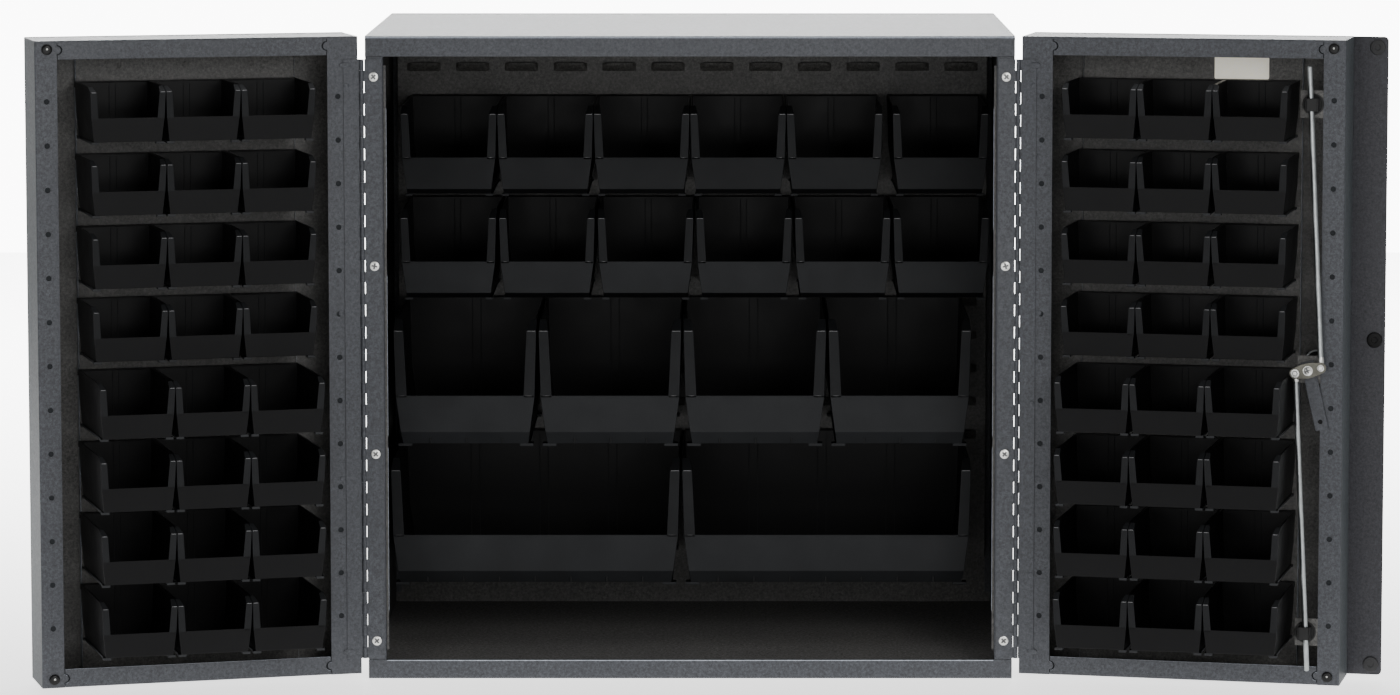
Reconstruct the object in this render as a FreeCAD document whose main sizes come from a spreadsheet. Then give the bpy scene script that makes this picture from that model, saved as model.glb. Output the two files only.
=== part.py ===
import FreeCAD, Part
import os
import re
import Sketcher
from FreeCAD import Placement, Rotation, Vector

# Tool cabinet with two deep box doors, louvred panels and hung plastic bins.
# Frame: X to the right, Y into the cabinet, Z up, origin under the middle of the base.
# A door is drawn in its own frame: origin on the hinge axis at floor height, X along
# the door, Y from its flange towards its skin. The doors stand open, as at rest.

SIZES = {
    # cabinet shell
    "cabinet_width": 914.4,
    "cabinet_depth": 609.6,
    "cabinet_height": 914.4,
    "sheet_gauge": 1.9,
    "top_rail_height": 28.7,
    "bottom_rail_height": 27.0,
    "floor_height": 12.7,
    "stile_width": 25.4,
    "stile_return": 12.0,
    "base_return": 20.0,
    "stiffener_half": 30.0,
    "back_lip": 10.0,
    # louvred panels
    "panel_gauge": 1.2,
    "panel_front_setback": 546.0,
    "panel_side_gap": 12.2,
    "panel_field_inset": 14.95,
    "panel_bottom": 90.0,
    "panel_top_gap": 6.0,
    "louvre_width": 50.5,
    "louvre_rise": 13.0,
    "louvre_reach": 7.0,
    "louvre_gauge": 1.3,
    "louvre_root": 3.2,
    "louvre_pitch": 73.6,
    "free_row_drop": 70.4,
    # doors
    "door_width": 455.7,
    "door_depth": 99.0,
    "door_floor_gap": 8.0,
    "hinge_flange": 44.0,
    "free_flange": 31.0,
    "end_flange": 26.0,
    "left_angle": 15.9,
    "right_angle": 13.0,
    "door_panel_standoff": 13.1,
    "door_panel_start": 74.0,
    "door_panel_width": 312.0,
    "door_panel_foot": 12.0,
    "door_panel_end_gap": 4.0,
    "flange_hole_radius": 3.9,
    "flange_hole_end_gap": 84.2,
    "flange_hole_inset": 15.0,
    # hinges
    "hinge_bottom_gap": 30.0,
    "hinge_top_gap": 32.4,
    "leaf_gauge": 1.5,
    "cabinet_leaf_width": 23.0,
    "door_leaf_width": 21.0,
    "pin_setback": 2.0,
    "pin_side_gap": 4.6,
    "pin_radius": 2.3,
    "knuckle_radius": 4.4,
    "knuckle_gap": 0.3,
    "screw_inset": 12.0,
    "screw_end_inset": 24.8,
    "screw_head_radius": 6.7,
    "leaf_screw_height": 0.9,
    # bumpers, overlap strip and its pads
    "bumper_radius": 7.5,
    "bumper_height": 3.5,
    "bumper_inset": 17.0,
    "bumper_end_inset": 12.0,
    "strip_width": 48.0,
    "strip_foot": 20.0,
    "strip_joggle": 3.2,
    "strip_corner": 6.0,
    "pad_radius": 11.0,
    "pad_height": 2.9,
    "pad_inset": 15.0,
    "middle_pad_level": 486.0,
    # latch: cam, arm, spindle, handle and rods
    "latch_inset": 46.7,
    "latch_height": 454.0,
    "cam_tilt_angle": 13.0,
    "cam_radius": 18.3,
    "cam_half_height": 10.5,
    "cam_end_radius": 7.8,
    "cam_tip_half": 3.5,
    "cam_shoulder": 4.7,
    "cam_shoulder_half": 7.2,
    "cam_waist": 7.3,
    "cam_gauge": 3.0,
    "arm_width": 18.4,
    "arm_length": 84.0,
    "arm_gauge": 3.0,
    "arm_gap": 1.5,
    "arm_hole_radius": 3.5,
    "spindle_size": 8.0,
    "handle_socket": 9.0,
    "slip": 0.15,
    "rod_radius": 3.9,
    "rod_standoff": 11.0,
    "rod_overshoot": 49.8,
    "rod_hook_radius": 3.0,
    "clip_radius": 5.0,
    "clip_height": 1.4,
    "running_gap": 0.3,
    "guide_top_inset": 89.4,
    "guide_low_inset": 75.0,
    "guide_shift": 1.6,
    "guide_side": 18.0,
    "guide_depth": 16.2,
    "guide_slot_width": 12.6,
    "guide_disc_radius": 15.0,
    "guide_disc_height": 2.0,
    "guide_neck_radius": 9.0,
    "guide_neck_length": 3.6,
    "tab_reach": 32.0,
    "tab_height": 38.5,
    "cam_screw_radius": 5.2,
    "cam_screw_height": 2.4,
    "escutcheon_radius": 24.0,
    "escutcheon_height": 5.0,
    "locknut_radius": 20.0,
    "locknut_height": 6.0,
    "sleeve_radius": 11.0,
    "passage_radius": 6.3,
    "handle_hub_radius": 14.0,
    "handle_hub_height": 22.0,
    "handle_length": 112.0,
    "handle_width": 18.0,
    "handle_tip_width": 12.0,
    "handle_gauge": 9.0,
    # bins: hook on the back rim
    "hook_gauge": 2.5,
    "hook_reach": 8.2,
    "hook_lip": 2.0,
    "hook_drop": 6.0,
    "hook_seat_gap": 0.3,
    "panel_to_bin": 8.5,
    "bin_row_gap": 25.4,
    "wall": 2.4,
    # small bins of the doors
    "small_width": 104.8,
    "short_length": 136.5,
    "long_length": 187.3,
    "small_shoulder": 37.0,
    "small_taper": 5.0,
    "small_wing": 10.0,
    "small_corner_rise": 7.0,
    "small_corner_run": 24.0,
    "small_toe": 6.0,
    "small_toe_rise": 7.0,
    "door_row_drop": 61.9,
    "left_bin_start": 73.0,
    "right_bin_start": 67.0,
    "door_bin_pitch": 105.2,
    # middle bins of the two upper rows
    "middle_width": 139.7,
    "middle_length": 276.2,
    "middle_shoulder": 54.0,
    "middle_taper": 11.0,
    "middle_wing": 12.5,
    "middle_corner_rise": 10.0,
    "middle_corner_run": 40.0,
    "middle_toe": 10.0,
    "middle_toe_rise": 8.0,
    # large bins of the third row
    "large_width": 206.0,
    "large_length": 374.7,
    "large_shoulder": 72.0,
    "large_taper": 11.0,
    "large_wing": 17.0,
    "large_corner_rise": 12.0,
    "large_corner_run": 50.0,
    "large_toe": 18.0,
    "large_toe_rise": 16.0,
    # wide bins of the lowest row share the large bins' section
    "wide_width": 418.0,
    # where the four rows of the cabinet hang
    "row_one_start": 423.3,
    "row_one_pitch": 140.6,
    "row_one_last_gap": 13.8,
    "row_two_start": 424.4,
    "row_two_pitch": 143.9,
    "row_three_start": 429.4,
    "row_three_pitch": 209.4,
    "row_four_start": 434.3,
    "row_four_pitch": 421.6,
    "overrun": 5.0,
}

COUNTS = {
    "height_modules": 18,
    "modules_in_door_row": 2,
    "modules_in_middle_row": 3,
    "modules_in_large_row": 4,
    "louvres_across": 12,
    "louvre_rows": 12,
    "door_louvres_across": 4,
    "door_louvre_rows": 8,
    "flange_holes": 13,
    "hole_sides": 6,
    "bore_sides": 8,
    "round_sides": 12,
    "bins_across": 3,
    "knuckles": 3,
    "screw_sides": 8,
    "screws": 4,
    "short_rows": 4,
}

doc = FreeCAD.newDocument("bin_cabinet")
sheet = doc.addObject("Spreadsheet::Sheet", "Sizes")
for row, (name, number) in enumerate(SIZES.items(), start=1):
    sheet.set("A%d" % row, name)
    sheet.set("B%d" % row, str(number))
    sheet.setAlias("B%d" % row, name)
doc.recompute()

nodes = []


def bound(text):
    """The sum in text, with each named size read from the sheet."""
    return re.sub(r"[a-z][a-z_]+", lambda word: "Sizes." + word[0] if word[0] in SIZES else word[0], text)


def bind(thing, **sizes):
    """Ties properties of an object to sums of named sizes."""
    for name, text in sizes.items():
        thing.setExpression(name, bound(text))


def place(thing, x="0", y="0", z="0"):
    """Ties an object's position to sums of named sizes."""
    for axis, text in zip("xyz", (x, y, z)):
        thing.setExpression("Placement.Base." + axis, bound(text))


def keep(thing, label):
    """Names a finished sub-part and puts it on the list that is written out."""
    thing.Label = label
    nodes.append(thing)
    return thing


def new_body(label):
    return keep(doc.addObject("PartDesign::Body", label), label)


def round_a(radius, sides):
    """The corner radius of a many-sided hole that clears a round piece of the given radius."""
    return "(%s) / cos(180 / %d)" % (radius, sides)


def origin_part(body, role):
    return next(part for part in body.Origin.OriginFeatures if part.Role == role)


def draw(sketch, corners):
    """A closed outline whose corners lie at named distances from the origin."""
    count = len(corners)
    rough = [Rotation(Vector(0, 0, 1), 360 * i / count).multVec(Vector(1, 0, 0)) for i in range(count)]
    for i in range(count):
        sketch.addGeometry(Part.LineSegment(rough[i], rough[(i + 1) % count]), False)
    for i, corner in enumerate(corners):
        sketch.addConstraint(Sketcher.Constraint("Coincident", i, 2, (i + 1) % count, 1))
        for kind, axis, text in zip(("DistanceX", "DistanceY"), (-2, -1), corner):
            if text == "0":
                sketch.addConstraint(Sketcher.Constraint("PointOnObject", i, 1, axis))
            else:
                number = sketch.addConstraint(Sketcher.Constraint(kind, -1, 1, i, 1, 1.0))
                sketch.setExpression("Constraints[%d]" % number, bound(text))


def sketch_in(body, role, corners, offset="0"):
    """An outline on one of the body's own planes, moved along the plane's normal."""
    sketch = body.newObject("Sketcher::SketchObject", body.Label + "_outline")
    sketch.AttachmentSupport = [(origin_part(body, role), "")]
    sketch.MapMode = "FlatFace"
    sketch.setExpression("AttachmentOffset.Base.z", bound(offset))
    draw(sketch, corners)
    return sketch


def pad(body, role, corners, length, offset="0"):
    """Material added along the plane's normal: +Z from XY, -Y from XZ, +X from YZ."""
    feature = body.newObject("PartDesign::Pad", body.Label + "_pad")
    feature.Profile = sketch_in(body, role, corners, offset)
    bind(feature, Length=length)
    body.Tip = feature
    return feature


def pocket(body, role, corners, length, offset="0"):
    """Material taken away along the same directions as pad."""
    feature = body.newObject("PartDesign::Pocket", body.Label + "_pocket")
    feature.Profile = sketch_in(body, role, corners, offset)
    feature.Reversed = True
    bind(feature, Length=length)
    body.Tip = feature
    return feature


def rectangle(x_low, x_high, y_low, y_high):
    return [(x_low, y_low), (x_high, y_low), (x_high, y_high), (x_low, y_high)]


def prism_cut(body, sides, radius, height, x, y, z, turn=None):
    """A many-sided hole; turn lays it along Y instead of Z."""
    hole = body.newObject("PartDesign::SubtractivePrism", body.Label + "_hole")
    hole.Polygon = sides
    bind(hole, Circumradius=radius, Height=height)
    if turn:
        hole.Placement = Placement(Vector(), Rotation(Vector(1, 0, 0), turn))
    place(hole, x, y, z)
    body.Tip = hole
    return hole


def pattern(body, originals, first, second=None):
    """Copies features along one or two axes; each is (axis role, total length, count)."""
    copies = body.newObject("PartDesign::LinearPattern", body.Label + "_pattern")
    copies.Originals = originals
    copies.Direction = (origin_part(body, first[0]), [""])
    copies.Occurrences = first[2]
    bind(copies, Length=first[1])
    if second:
        copies.Direction2 = (origin_part(body, second[0]), [""])
        copies.Occurrences2 = second[2]
        bind(copies, Length2=second[1])
    body.Tip = copies
    return copies


# Sums used by more than one sub-part
FRONT = "(-cabinet_depth / 2)"
BACK = "(cabinet_depth / 2)"
SIDE = "(cabinet_width / 2)"
TOP = "cabinet_height"
PANEL_FACE = "(panel_front_setback - cabinet_depth / 2)"
PIN_X = "(cabinet_width / 2 + pin_side_gap)"
PIN_Y = "(-cabinet_depth / 2 - pin_setback)"
DOOR_EDGE = "pin_side_gap"
DOOR_FREE = "(pin_side_gap + door_width)"
FLANGE_FACE = "pin_setback"
SKIN = "(pin_setback + door_depth)"
DOOR_HEIGHT = "(cabinet_height - door_floor_gap)"
HINGE_BOTTOM = "hinge_bottom_gap"
HINGE_LENGTH = "(cabinet_height - hinge_top_gap - hinge_bottom_gap)"
ROW_PITCH = "(cabinet_height / %d)" % COUNTS["height_modules"]
DOOR_ROW_PITCH = "(%d * %s)" % (COUNTS["modules_in_door_row"], ROW_PITCH)
DOOR_ROW_TOP = "(cabinet_height - door_row_drop)"
BIN_HEIGHTS = {
    "small": "(%s - bin_row_gap)" % DOOR_ROW_PITCH,
    "middle": "(%d * %s - bin_row_gap)" % (COUNTS["modules_in_middle_row"], ROW_PITCH),
    "large": "(%d * %s - bin_row_gap)" % (COUNTS["modules_in_large_row"], ROW_PITCH),
}
DOOR_PANEL = "(pin_setback + door_depth - sheet_gauge - door_panel_standoff)"
LATCH_X = "(pin_side_gap + door_width - latch_inset)"
ROD_Y = "(pin_setback - rod_standoff)"
CAM_BACK = "(pin_setback - rod_standoff - rod_radius - running_gap)"
SIGNS = {"left": "-1", "right": "1"}


def in_door(thing, side):
    """Puts a sub-part that is drawn in a door's frame on that door, as it stands open."""
    turn = "left_angle" if side == "left" else "-right_angle"
    thing.Placement = Placement(Vector(), Rotation(Vector(0, 0, 1), 1))
    place(thing, "%s * %s" % (SIGNS[side], PIN_X), PIN_Y, "0")
    thing.setExpression("Placement.Rotation.Angle", bound(turn))
    return thing


def mirrored(side, corners):
    """An outline of the right side, or its mirror image for the left."""
    return [("%s * (%s)" % (SIGNS[side], x), y) if x != "0" else (x, y) for x, y in corners]


def low_x(side, start, width):
    """The lowest X of a piece that starts at start and is width wide on the right side."""
    return start if side == "right" else "-(%s) - (%s)" % (start, width)


# Cabinet shell
def top_panel():
    body = new_body("top_panel")
    y_in = FRONT + " + sheet_gauge"
    z_in = "cabinet_height - sheet_gauge"
    z_rail = "cabinet_height - top_rail_height"
    corners = [(FRONT, z_rail), (y_in, z_rail), (y_in, z_in), (BACK, z_in), (BACK, TOP), (FRONT, TOP)]
    pad(body, "YZ_Plane", corners, "cabinet_width", "-cabinet_width / 2")


def bottom_panel():
    body = new_body("bottom_panel")
    y_in = FRONT + " + sheet_gauge"
    inner = "cabinet_width - 2 * sheet_gauge"
    start = "sheet_gauge - cabinet_width / 2"
    rail = rectangle(FRONT, y_in, "0", "bottom_rail_height")
    pad(body, "YZ_Plane", rail, "cabinet_width", "-cabinet_width / 2")
    floor = rectangle(y_in, BACK + " - sheet_gauge", "floor_height - sheet_gauge", "floor_height")
    pad(body, "YZ_Plane", floor, inner, start)
    lip = rectangle(y_in, FRONT + " + base_return", "0", "sheet_gauge")
    pad(body, "YZ_Plane", lip, inner, start)
    under = "floor_height - sheet_gauge"
    half = "stiffener_half"
    web = half + " - sheet_gauge"
    channel = [("-" + half, "0"), (half, "0"), (half, under), (web, under), (web, "sheet_gauge")]
    channel += [("-(%s)" % web, "sheet_gauge"), ("-(%s)" % web, under), ("-" + half, under)]
    pad(body, "YZ_Plane", channel, inner, start)


def side_panel(side):
    body = new_body(side + "_side_panel")
    y_in = FRONT + " + sheet_gauge"
    x_in = SIDE + " - sheet_gauge"
    stile = SIDE + " - stile_width"
    back = BACK + " - sheet_gauge"
    lip = SIDE + " - back_lip"
    wall = [(x_in, y_in), (SIDE, y_in), (SIDE, back), (lip, back), (lip, back + " - sheet_gauge")]
    wall.append((x_in, back + " - sheet_gauge"))
    pad(body, "XY_Plane", mirrored(side, wall), "cabinet_height - sheet_gauge - floor_height", "floor_height")
    skirt = rectangle(x_in, SIDE, y_in, back)
    pad(body, "XY_Plane", mirrored(side, skirt), "floor_height")
    post = [(stile, FRONT), (SIDE, FRONT), (SIDE, y_in), (stile + " + sheet_gauge", y_in)]
    post.append((stile + " + sheet_gauge", FRONT + " + stile_return"))
    post.append((stile, FRONT + " + stile_return"))
    length = "cabinet_height - top_rail_height - bottom_rail_height"
    pad(body, "XY_Plane", mirrored(side, post), length, "bottom_rail_height")


def back_panel():
    body = new_body("back_panel")
    plate = rectangle("-" + SIDE, SIDE, BACK + " - sheet_gauge", BACK)
    pad(body, "XY_Plane", plate, "cabinet_height - sheet_gauge")


def louvre_profile(face):
    """A tongue that leans out and up from the panel's face, in YZ, its tip at z = 0."""
    root = "-louvre_rise"
    tip = face + " - louvre_reach"
    return [(face, root), (tip, "0"), (tip + " + louvre_gauge", "0"), (face, root + " + louvre_root")]


def lifted(corners, height):
    return [(x, "%s + %s" % (height, y)) for x, y in corners]


def louvre_panel():
    body = new_body("louvre_panel")
    face = PANEL_FACE
    inner = face + " + panel_gauge"
    back = BACK + " - sheet_gauge"
    edge = "(cabinet_width / 2 - panel_side_gap)"
    hat = [("-" + edge, face), (edge, face), (edge, back), (edge + " - panel_gauge", back)]
    hat += [(edge + " - panel_gauge", inner), ("panel_gauge - " + edge, inner)]
    hat += [("panel_gauge - " + edge, back), ("-" + edge, back)]
    height = "cabinet_height - sheet_gauge - panel_top_gap - panel_bottom"
    pad(body, "XY_Plane", hat, height, "panel_bottom")
    across = COUNTS["louvres_across"] - 1
    rows = COUNTS["louvre_rows"] - 1
    spread = "(cabinet_width - 2 * panel_side_gap - 2 * panel_field_inset - louvre_width)"
    start = "-(%s + louvre_width) / 2" % spread
    lowest = "(cabinet_height - free_row_drop - %d * %s)" % (rows, ROW_PITCH)
    tongue = pad(body, "YZ_Plane", lifted(louvre_profile(face), lowest), "louvre_width", start)
    upward = ("Z_Axis", "%d * %s" % (rows, ROW_PITCH), rows + 1)
    pattern(body, [tongue], ("X_Axis", spread, across + 1), upward)


# Doors
def door_pan(side):
    body = new_body(side + "_door_pan")
    inner_face = FLANGE_FACE + " + sheet_gauge"
    hinge_in = DOOR_EDGE + " + hinge_flange"
    free_in = DOOR_FREE + " - free_flange"
    near = DOOR_EDGE + " + sheet_gauge"
    far = DOOR_FREE + " - sheet_gauge"
    skin_in = SKIN + " - sheet_gauge"
    pan = [(DOOR_EDGE, FLANGE_FACE), (hinge_in, FLANGE_FACE), (hinge_in, inner_face)]
    pan += [(near, inner_face), (near, skin_in), (far, skin_in), (far, inner_face)]
    pan += [(free_in, inner_face), (free_in, FLANGE_FACE), (DOOR_FREE, FLANGE_FACE)]
    pan += [(DOOR_FREE, SKIN), (DOOR_EDGE, SKIN)]
    pad(body, "XY_Plane", mirrored(side, pan), DOOR_HEIGHT, "door_floor_gap")
    inner_width = "door_width - 2 * sheet_gauge"
    start = low_x(side, near, inner_width)
    for end, inward in (("cabinet_height", "-"), ("door_floor_gap", "+")):
        edge = "%s %s end_flange" % (end, inward)
        wall = "%s %s sheet_gauge" % (end, inward)
        channel = [(FLANGE_FACE, end), (FLANGE_FACE, edge), (inner_face, edge), (inner_face, wall)]
        channel += [(skin_in, wall), (skin_in, end)]
        pad(body, "YZ_Plane", channel, inner_width, start)
    if side == "right":
        latch_openings(body, free_in, inner_face)
    hole_x = DOOR_EDGE + " + hinge_flange - flange_hole_inset"
    step = "(door_width - free_flange - hinge_flange + 2 * flange_hole_inset)"
    spread = "(%s - 2 * flange_hole_end_gap)" % DOOR_HEIGHT
    cut = [body, COUNTS["hole_sides"], "flange_hole_radius", "sheet_gauge + 2 * overrun"]
    cut += [low_x(side, hole_x, step), inner_face + " + overrun", "door_floor_gap + flange_hole_end_gap", 90]
    hole = prism_cut(*cut)
    pattern(body, [hole], ("Z_Axis", spread, COUNTS["flange_holes"]), ("X_Axis", step, 2))
    in_door(body, side)


def latch_openings(body, free_in, inner_face):
    """Three tabs on the free flange carry the latch and its guides; the skin is pierced for the handle."""
    places = guide_places() + ((LATCH_X, "latch_height"),)
    for _, z in places:
        tab = rectangle(free_in + " - tab_reach", free_in, z + " - tab_height / 2", z + " + tab_height / 2")
        pad(body, "XZ_Plane", tab, "sheet_gauge", "-(%s)" % inner_face)
    sides = COUNTS["round_sides"]
    neck = round_a("guide_neck_radius + running_gap", sides)
    through = "sheet_gauge + 2 * overrun"
    for x, z in places:
        prism_cut(body, sides, neck, through, x, inner_face + " + overrun", z, 90)
    bore = round_a("sleeve_radius + running_gap", sides)
    prism_cut(body, sides, bore, through, LATCH_X, SKIN + " + overrun", "latch_height", 90)


def guide_places():
    """Where the upper and the lower rod guide stand; the rods sway to one side as the cam turns."""
    upper = (LATCH_X + " + guide_shift", "(cabinet_height - guide_top_inset)")
    lower = (LATCH_X + " - guide_shift", "(door_floor_gap + guide_low_inset)")
    return upper, lower


def door_louvre_panel(side):
    body = new_body(side + "_door_louvre_panel")
    start = DOOR_EDGE + " + door_panel_start"
    end = start + " + door_panel_width"
    inner = DOOR_PANEL + " + panel_gauge"
    foot = SKIN + " - sheet_gauge"
    turned = foot + " - panel_gauge"
    bend = end + " - door_panel_foot"
    hat = [(start, DOOR_PANEL), (end, DOOR_PANEL), (end, foot), (bend, foot), (bend, turned)]
    hat += [(end + " - panel_gauge", turned), (end + " - panel_gauge", inner)]
    hat += [(start + " + panel_gauge", inner), (start + " + panel_gauge", turned)]
    hat += [(start + " + door_panel_foot", turned), (start + " + door_panel_foot", foot), (start, foot)]
    low = "door_floor_gap + sheet_gauge + door_panel_end_gap"
    height = DOOR_HEIGHT + " - 2 * (sheet_gauge + door_panel_end_gap)"
    pad(body, "XY_Plane", mirrored(side, hat), height, low)
    across = COUNTS["door_louvres_across"] - 1
    rows = COUNTS["door_louvre_rows"] - 1
    field = "(%d * louvre_pitch + louvre_width)" % across
    first = low_x(side, "%s + (door_panel_width - %s) / 2" % (start, field), field)
    lowest = "(%s - hook_gauge - hook_seat_gap - %d * %s)" % (DOOR_ROW_TOP, rows, DOOR_ROW_PITCH)
    tongue = pad(body, "YZ_Plane", lifted(louvre_profile(DOOR_PANEL), lowest), "louvre_width", first)
    along = ("X_Axis", "%d * louvre_pitch" % across, across + 1)
    pattern(body, [tongue], along, ("Z_Axis", "%d * %s" % (rows, DOOR_ROW_PITCH), rows + 1))
    in_door(body, side)


def hinge_leaf(label, side, inward, width, plate_y, first_share, base_x):
    """A leaf with every other knuckle of the hinge; inward is the side of the pin it lies on."""
    body = new_body(label)
    plate_high = plate_y + " + leaf_gauge"
    sign = "%s * %s" % (SIGNS[side], inward)

    def outline(near, far):
        corners = rectangle(near, far, plate_y, plate_high)
        return [("%s * (%s) + %s" % (sign, x, base_x), y) for x, y in corners]

    pad(body, "XY_Plane", outline("pin_side_gap", "pin_side_gap + " + width), HINGE_LENGTH, HINGE_BOTTOM)
    count = COUNTS["knuckles"]
    step = "%s / %d" % (HINGE_LENGTH, count)
    low = "%s + %s * %s / 2" % (HINGE_BOTTOM, first_share, step)
    height = "%s / 2 - knuckle_gap" % step
    tail = pad(body, "XY_Plane", outline("pin_radius", "pin_side_gap"), height, low)
    knuckle = body.newObject("PartDesign::AdditivePrism", label + "_knuckle")
    knuckle.Polygon = COUNTS["bore_sides"]
    bind(knuckle, Circumradius="knuckle_radius", Height=height)
    centre_y = "0" if base_x == "0" else PIN_Y
    place(knuckle, base_x, centre_y, low)
    body.Tip = knuckle
    pattern(body, [tail, knuckle], ("Z_Axis", "%s - %s" % (HINGE_LENGTH, step), count))
    bore = round_a("pin_radius + running_gap", COUNTS["bore_sides"])
    length = HINGE_LENGTH + " + 2 * overrun"
    prism_cut(body, COUNTS["bore_sides"], bore, length, base_x, centre_y, HINGE_BOTTOM + " - overrun")
    return body


def hinge(side):
    pin_x = "%s * %s" % (SIGNS[side], PIN_X)
    cabinet_y = FRONT + " - leaf_gauge"
    hinge_leaf(side + "_hinge_cabinet_leaf", side, "-1", "cabinet_leaf_width", cabinet_y, "0", pin_x)
    door_y = "pin_setback - leaf_gauge"
    leaf = hinge_leaf(side + "_hinge_door_leaf", side, "1", "door_leaf_width", door_y, "1", "0")
    in_door(leaf, side)
    pin = doc.addObject("Part::Cylinder", side + "_hinge_pin")
    bind(pin, Radius="pin_radius", Height=HINGE_LENGTH)
    place(pin, pin_x, PIN_Y, HINGE_BOTTOM)
    keep(pin, side + "_hinge_pin")


def stud(name, radius, height, x, y, z, sides=COUNTS["round_sides"]):
    """A small round piece that stands out from y towards -Y, as a many-sided prism."""
    piece = doc.addObject("Part::Prism", name)
    piece.Polygon = sides
    bind(piece, Circumradius=radius, Height=height)
    piece.Placement = Placement(Vector(), Rotation(Vector(1, 0, 0), 90))
    place(piece, x, y, z)
    return piece


def turned_stud(name, radius, height, x, y, z):
    """A truly round stud, for the pieces that something turns about."""
    piece = doc.addObject("Part::Cylinder", name)
    bind(piece, Radius=radius, Height=height)
    piece.Placement = Placement(Vector(), Rotation(Vector(1, 0, 0), 90))
    place(piece, x, y, z)
    return piece


def group(label, pieces):
    together = doc.addObject("Part::Compound", label)
    together.Links = pieces
    return keep(together, label)


def hinge_screws():
    heads = []
    step = "(%s - 2 * screw_end_inset) / %d" % (HINGE_LENGTH, COUNTS["screws"] - 1)
    for side, sign in SIGNS.items():
        for i in range(COUNTS["screws"]):
            x = "%s * (%s - screw_inset)" % (sign, SIDE)
            z = "%s + screw_end_inset + %d * %s" % (HINGE_BOTTOM, i, step)
            y = FRONT + " - leaf_gauge"
            sides = COUNTS["screw_sides"]
            heads.append(stud("screw_head", "screw_head_radius", "leaf_screw_height", x, y, z, sides))
    group("hinge_screws", heads)


def door_bumpers(side):
    ends = []
    for z in ("cabinet_height - bumper_end_inset", "door_floor_gap + bumper_end_inset"):
        x = "%s * (%s - bumper_inset)" % (SIGNS[side], DOOR_FREE)
        ends.append(stud("bumper", "bumper_radius", "bumper_height", x, FLANGE_FACE, z))
    in_door(group(side + "_door_bumpers", ends), side)


def overlap_strip():
    body = new_body("overlap_strip")
    foot = DOOR_FREE + " - strip_foot"
    outer = DOOR_FREE + " + strip_width"
    step = DOOR_FREE + " + strip_joggle"
    raised = SKIN + " + strip_joggle"
    plan = [(foot, SKIN), (DOOR_FREE, SKIN), (step, raised), (outer, raised)]
    plan += [(outer, raised + " + sheet_gauge"), (step + " - sheet_gauge / 2", raised + " + sheet_gauge")]
    plan += [(DOOR_FREE + " - sheet_gauge / 2", SKIN + " + sheet_gauge"), (foot, SKIN + " + sheet_gauge")]
    pad(body, "XY_Plane", plan, DOOR_HEIGHT, "door_floor_gap")
    for end, inward in (("cabinet_height", "-"), ("door_floor_gap", "+")):
        cut_z = "%s %s strip_corner" % (end, inward)
        corner = [(outer, end), (outer, cut_z), (outer + " - strip_corner", end)]
        start = "-(%s) - sheet_gauge - overrun" % raised
        pocket(body, "XZ_Plane", corner, "sheet_gauge + 2 * overrun", start)
    in_door(body, "right")


def overlap_pads():
    pads = []
    face = SKIN + " + strip_joggle"
    x = DOOR_FREE + " + strip_width - pad_inset"
    heights = ["cabinet_height - pad_inset", "middle_pad_level", "door_floor_gap + pad_inset"]
    for z in heights:
        pads.append(stud("pad", "pad_radius", "pad_height", x, face, z))
    in_door(group("overlap_pads", pads), "right")


# Three-point latch
def rod_guides():
    guides = []
    names = ("upper_guide", "lower_guide")
    for name, (x, z) in zip(names, guide_places()):
        body = doc.addObject("PartDesign::Body", name)
        half = "guide_side / 2"
        back = FLANGE_FACE + " - running_gap - guide_disc_height"
        z_low = "%s - %s" % (z, half)
        block = rectangle("%s - %s" % (x, half), "%s + %s" % (x, half), z_low, "%s + %s" % (z, half))
        pad(body, "XZ_Plane", block, "guide_depth", "-(%s)" % back)
        for radius, height, y in (
            ("guide_disc_radius", "guide_disc_height", FLANGE_FACE + " - running_gap"),
            ("guide_neck_radius", "guide_neck_length", FLANGE_FACE + " - running_gap + guide_neck_length"),
        ):
            round_part = body.newObject("PartDesign::AdditivePrism", name + "_round")
            round_part.Polygon = COUNTS["round_sides"]
            bind(round_part, Circumradius=radius, Height=height)
            round_part.Placement = Placement(Vector(), Rotation(Vector(1, 0, 0), 90))
            place(round_part, x, y, z)
            body.Tip = round_part
        slot_half = "guide_slot_width / 2"
        depth = "(rod_radius + running_gap)"
        slot = rectangle("%s - %s" % (x, slot_half), "%s + %s" % (x, slot_half),
                         "%s - %s" % (ROD_Y, depth), "%s + %s" % (ROD_Y, depth))
        pocket(body, "XY_Plane", slot, "guide_side + 2 * overrun", z_low + " - overrun")
        guides.append(body)
    in_door(group("rod_guides", guides), "right")


def turned_outline(corners, angle):
    """Corners given along and across a bar, turned about the cam's centre by an angle."""
    turned = []
    for along, across in corners:
        x = "%s + (%s) * cos(%s) - (%s) * sin(%s)" % (LATCH_X, along, angle, across, angle)
        z = "latch_height + (%s) * sin(%s) + (%s) * cos(%s)" % (along, angle, across, angle)
        turned.append((x, z))
    return turned


def cam_outline():
    """A flat lozenge with rounded ends, as corners along and across the cam."""
    end = "(cam_radius + cam_end_radius)"
    near = "(cam_radius + cam_shoulder)"
    right = [("cam_waist", "-cam_half_height"), (near, "-cam_shoulder_half"), (end, "-cam_tip_half")]
    right += [(end, "cam_tip_half"), (near, "cam_shoulder_half"), ("cam_waist", "cam_half_height")]
    left = [("-" + x, "-(%s)" % y) for x, y in right]
    return right + left


def square_hole(body, y_high, length, angle):
    """The hole that keys a plate to the square spindle."""
    half = "(spindle_size / 2 + slip)"
    corners = turned_outline(rectangle("-" + half, half, "-" + half, half), angle)
    pocket(body, "XZ_Plane", corners, length, "-(%s)" % y_high)


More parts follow.
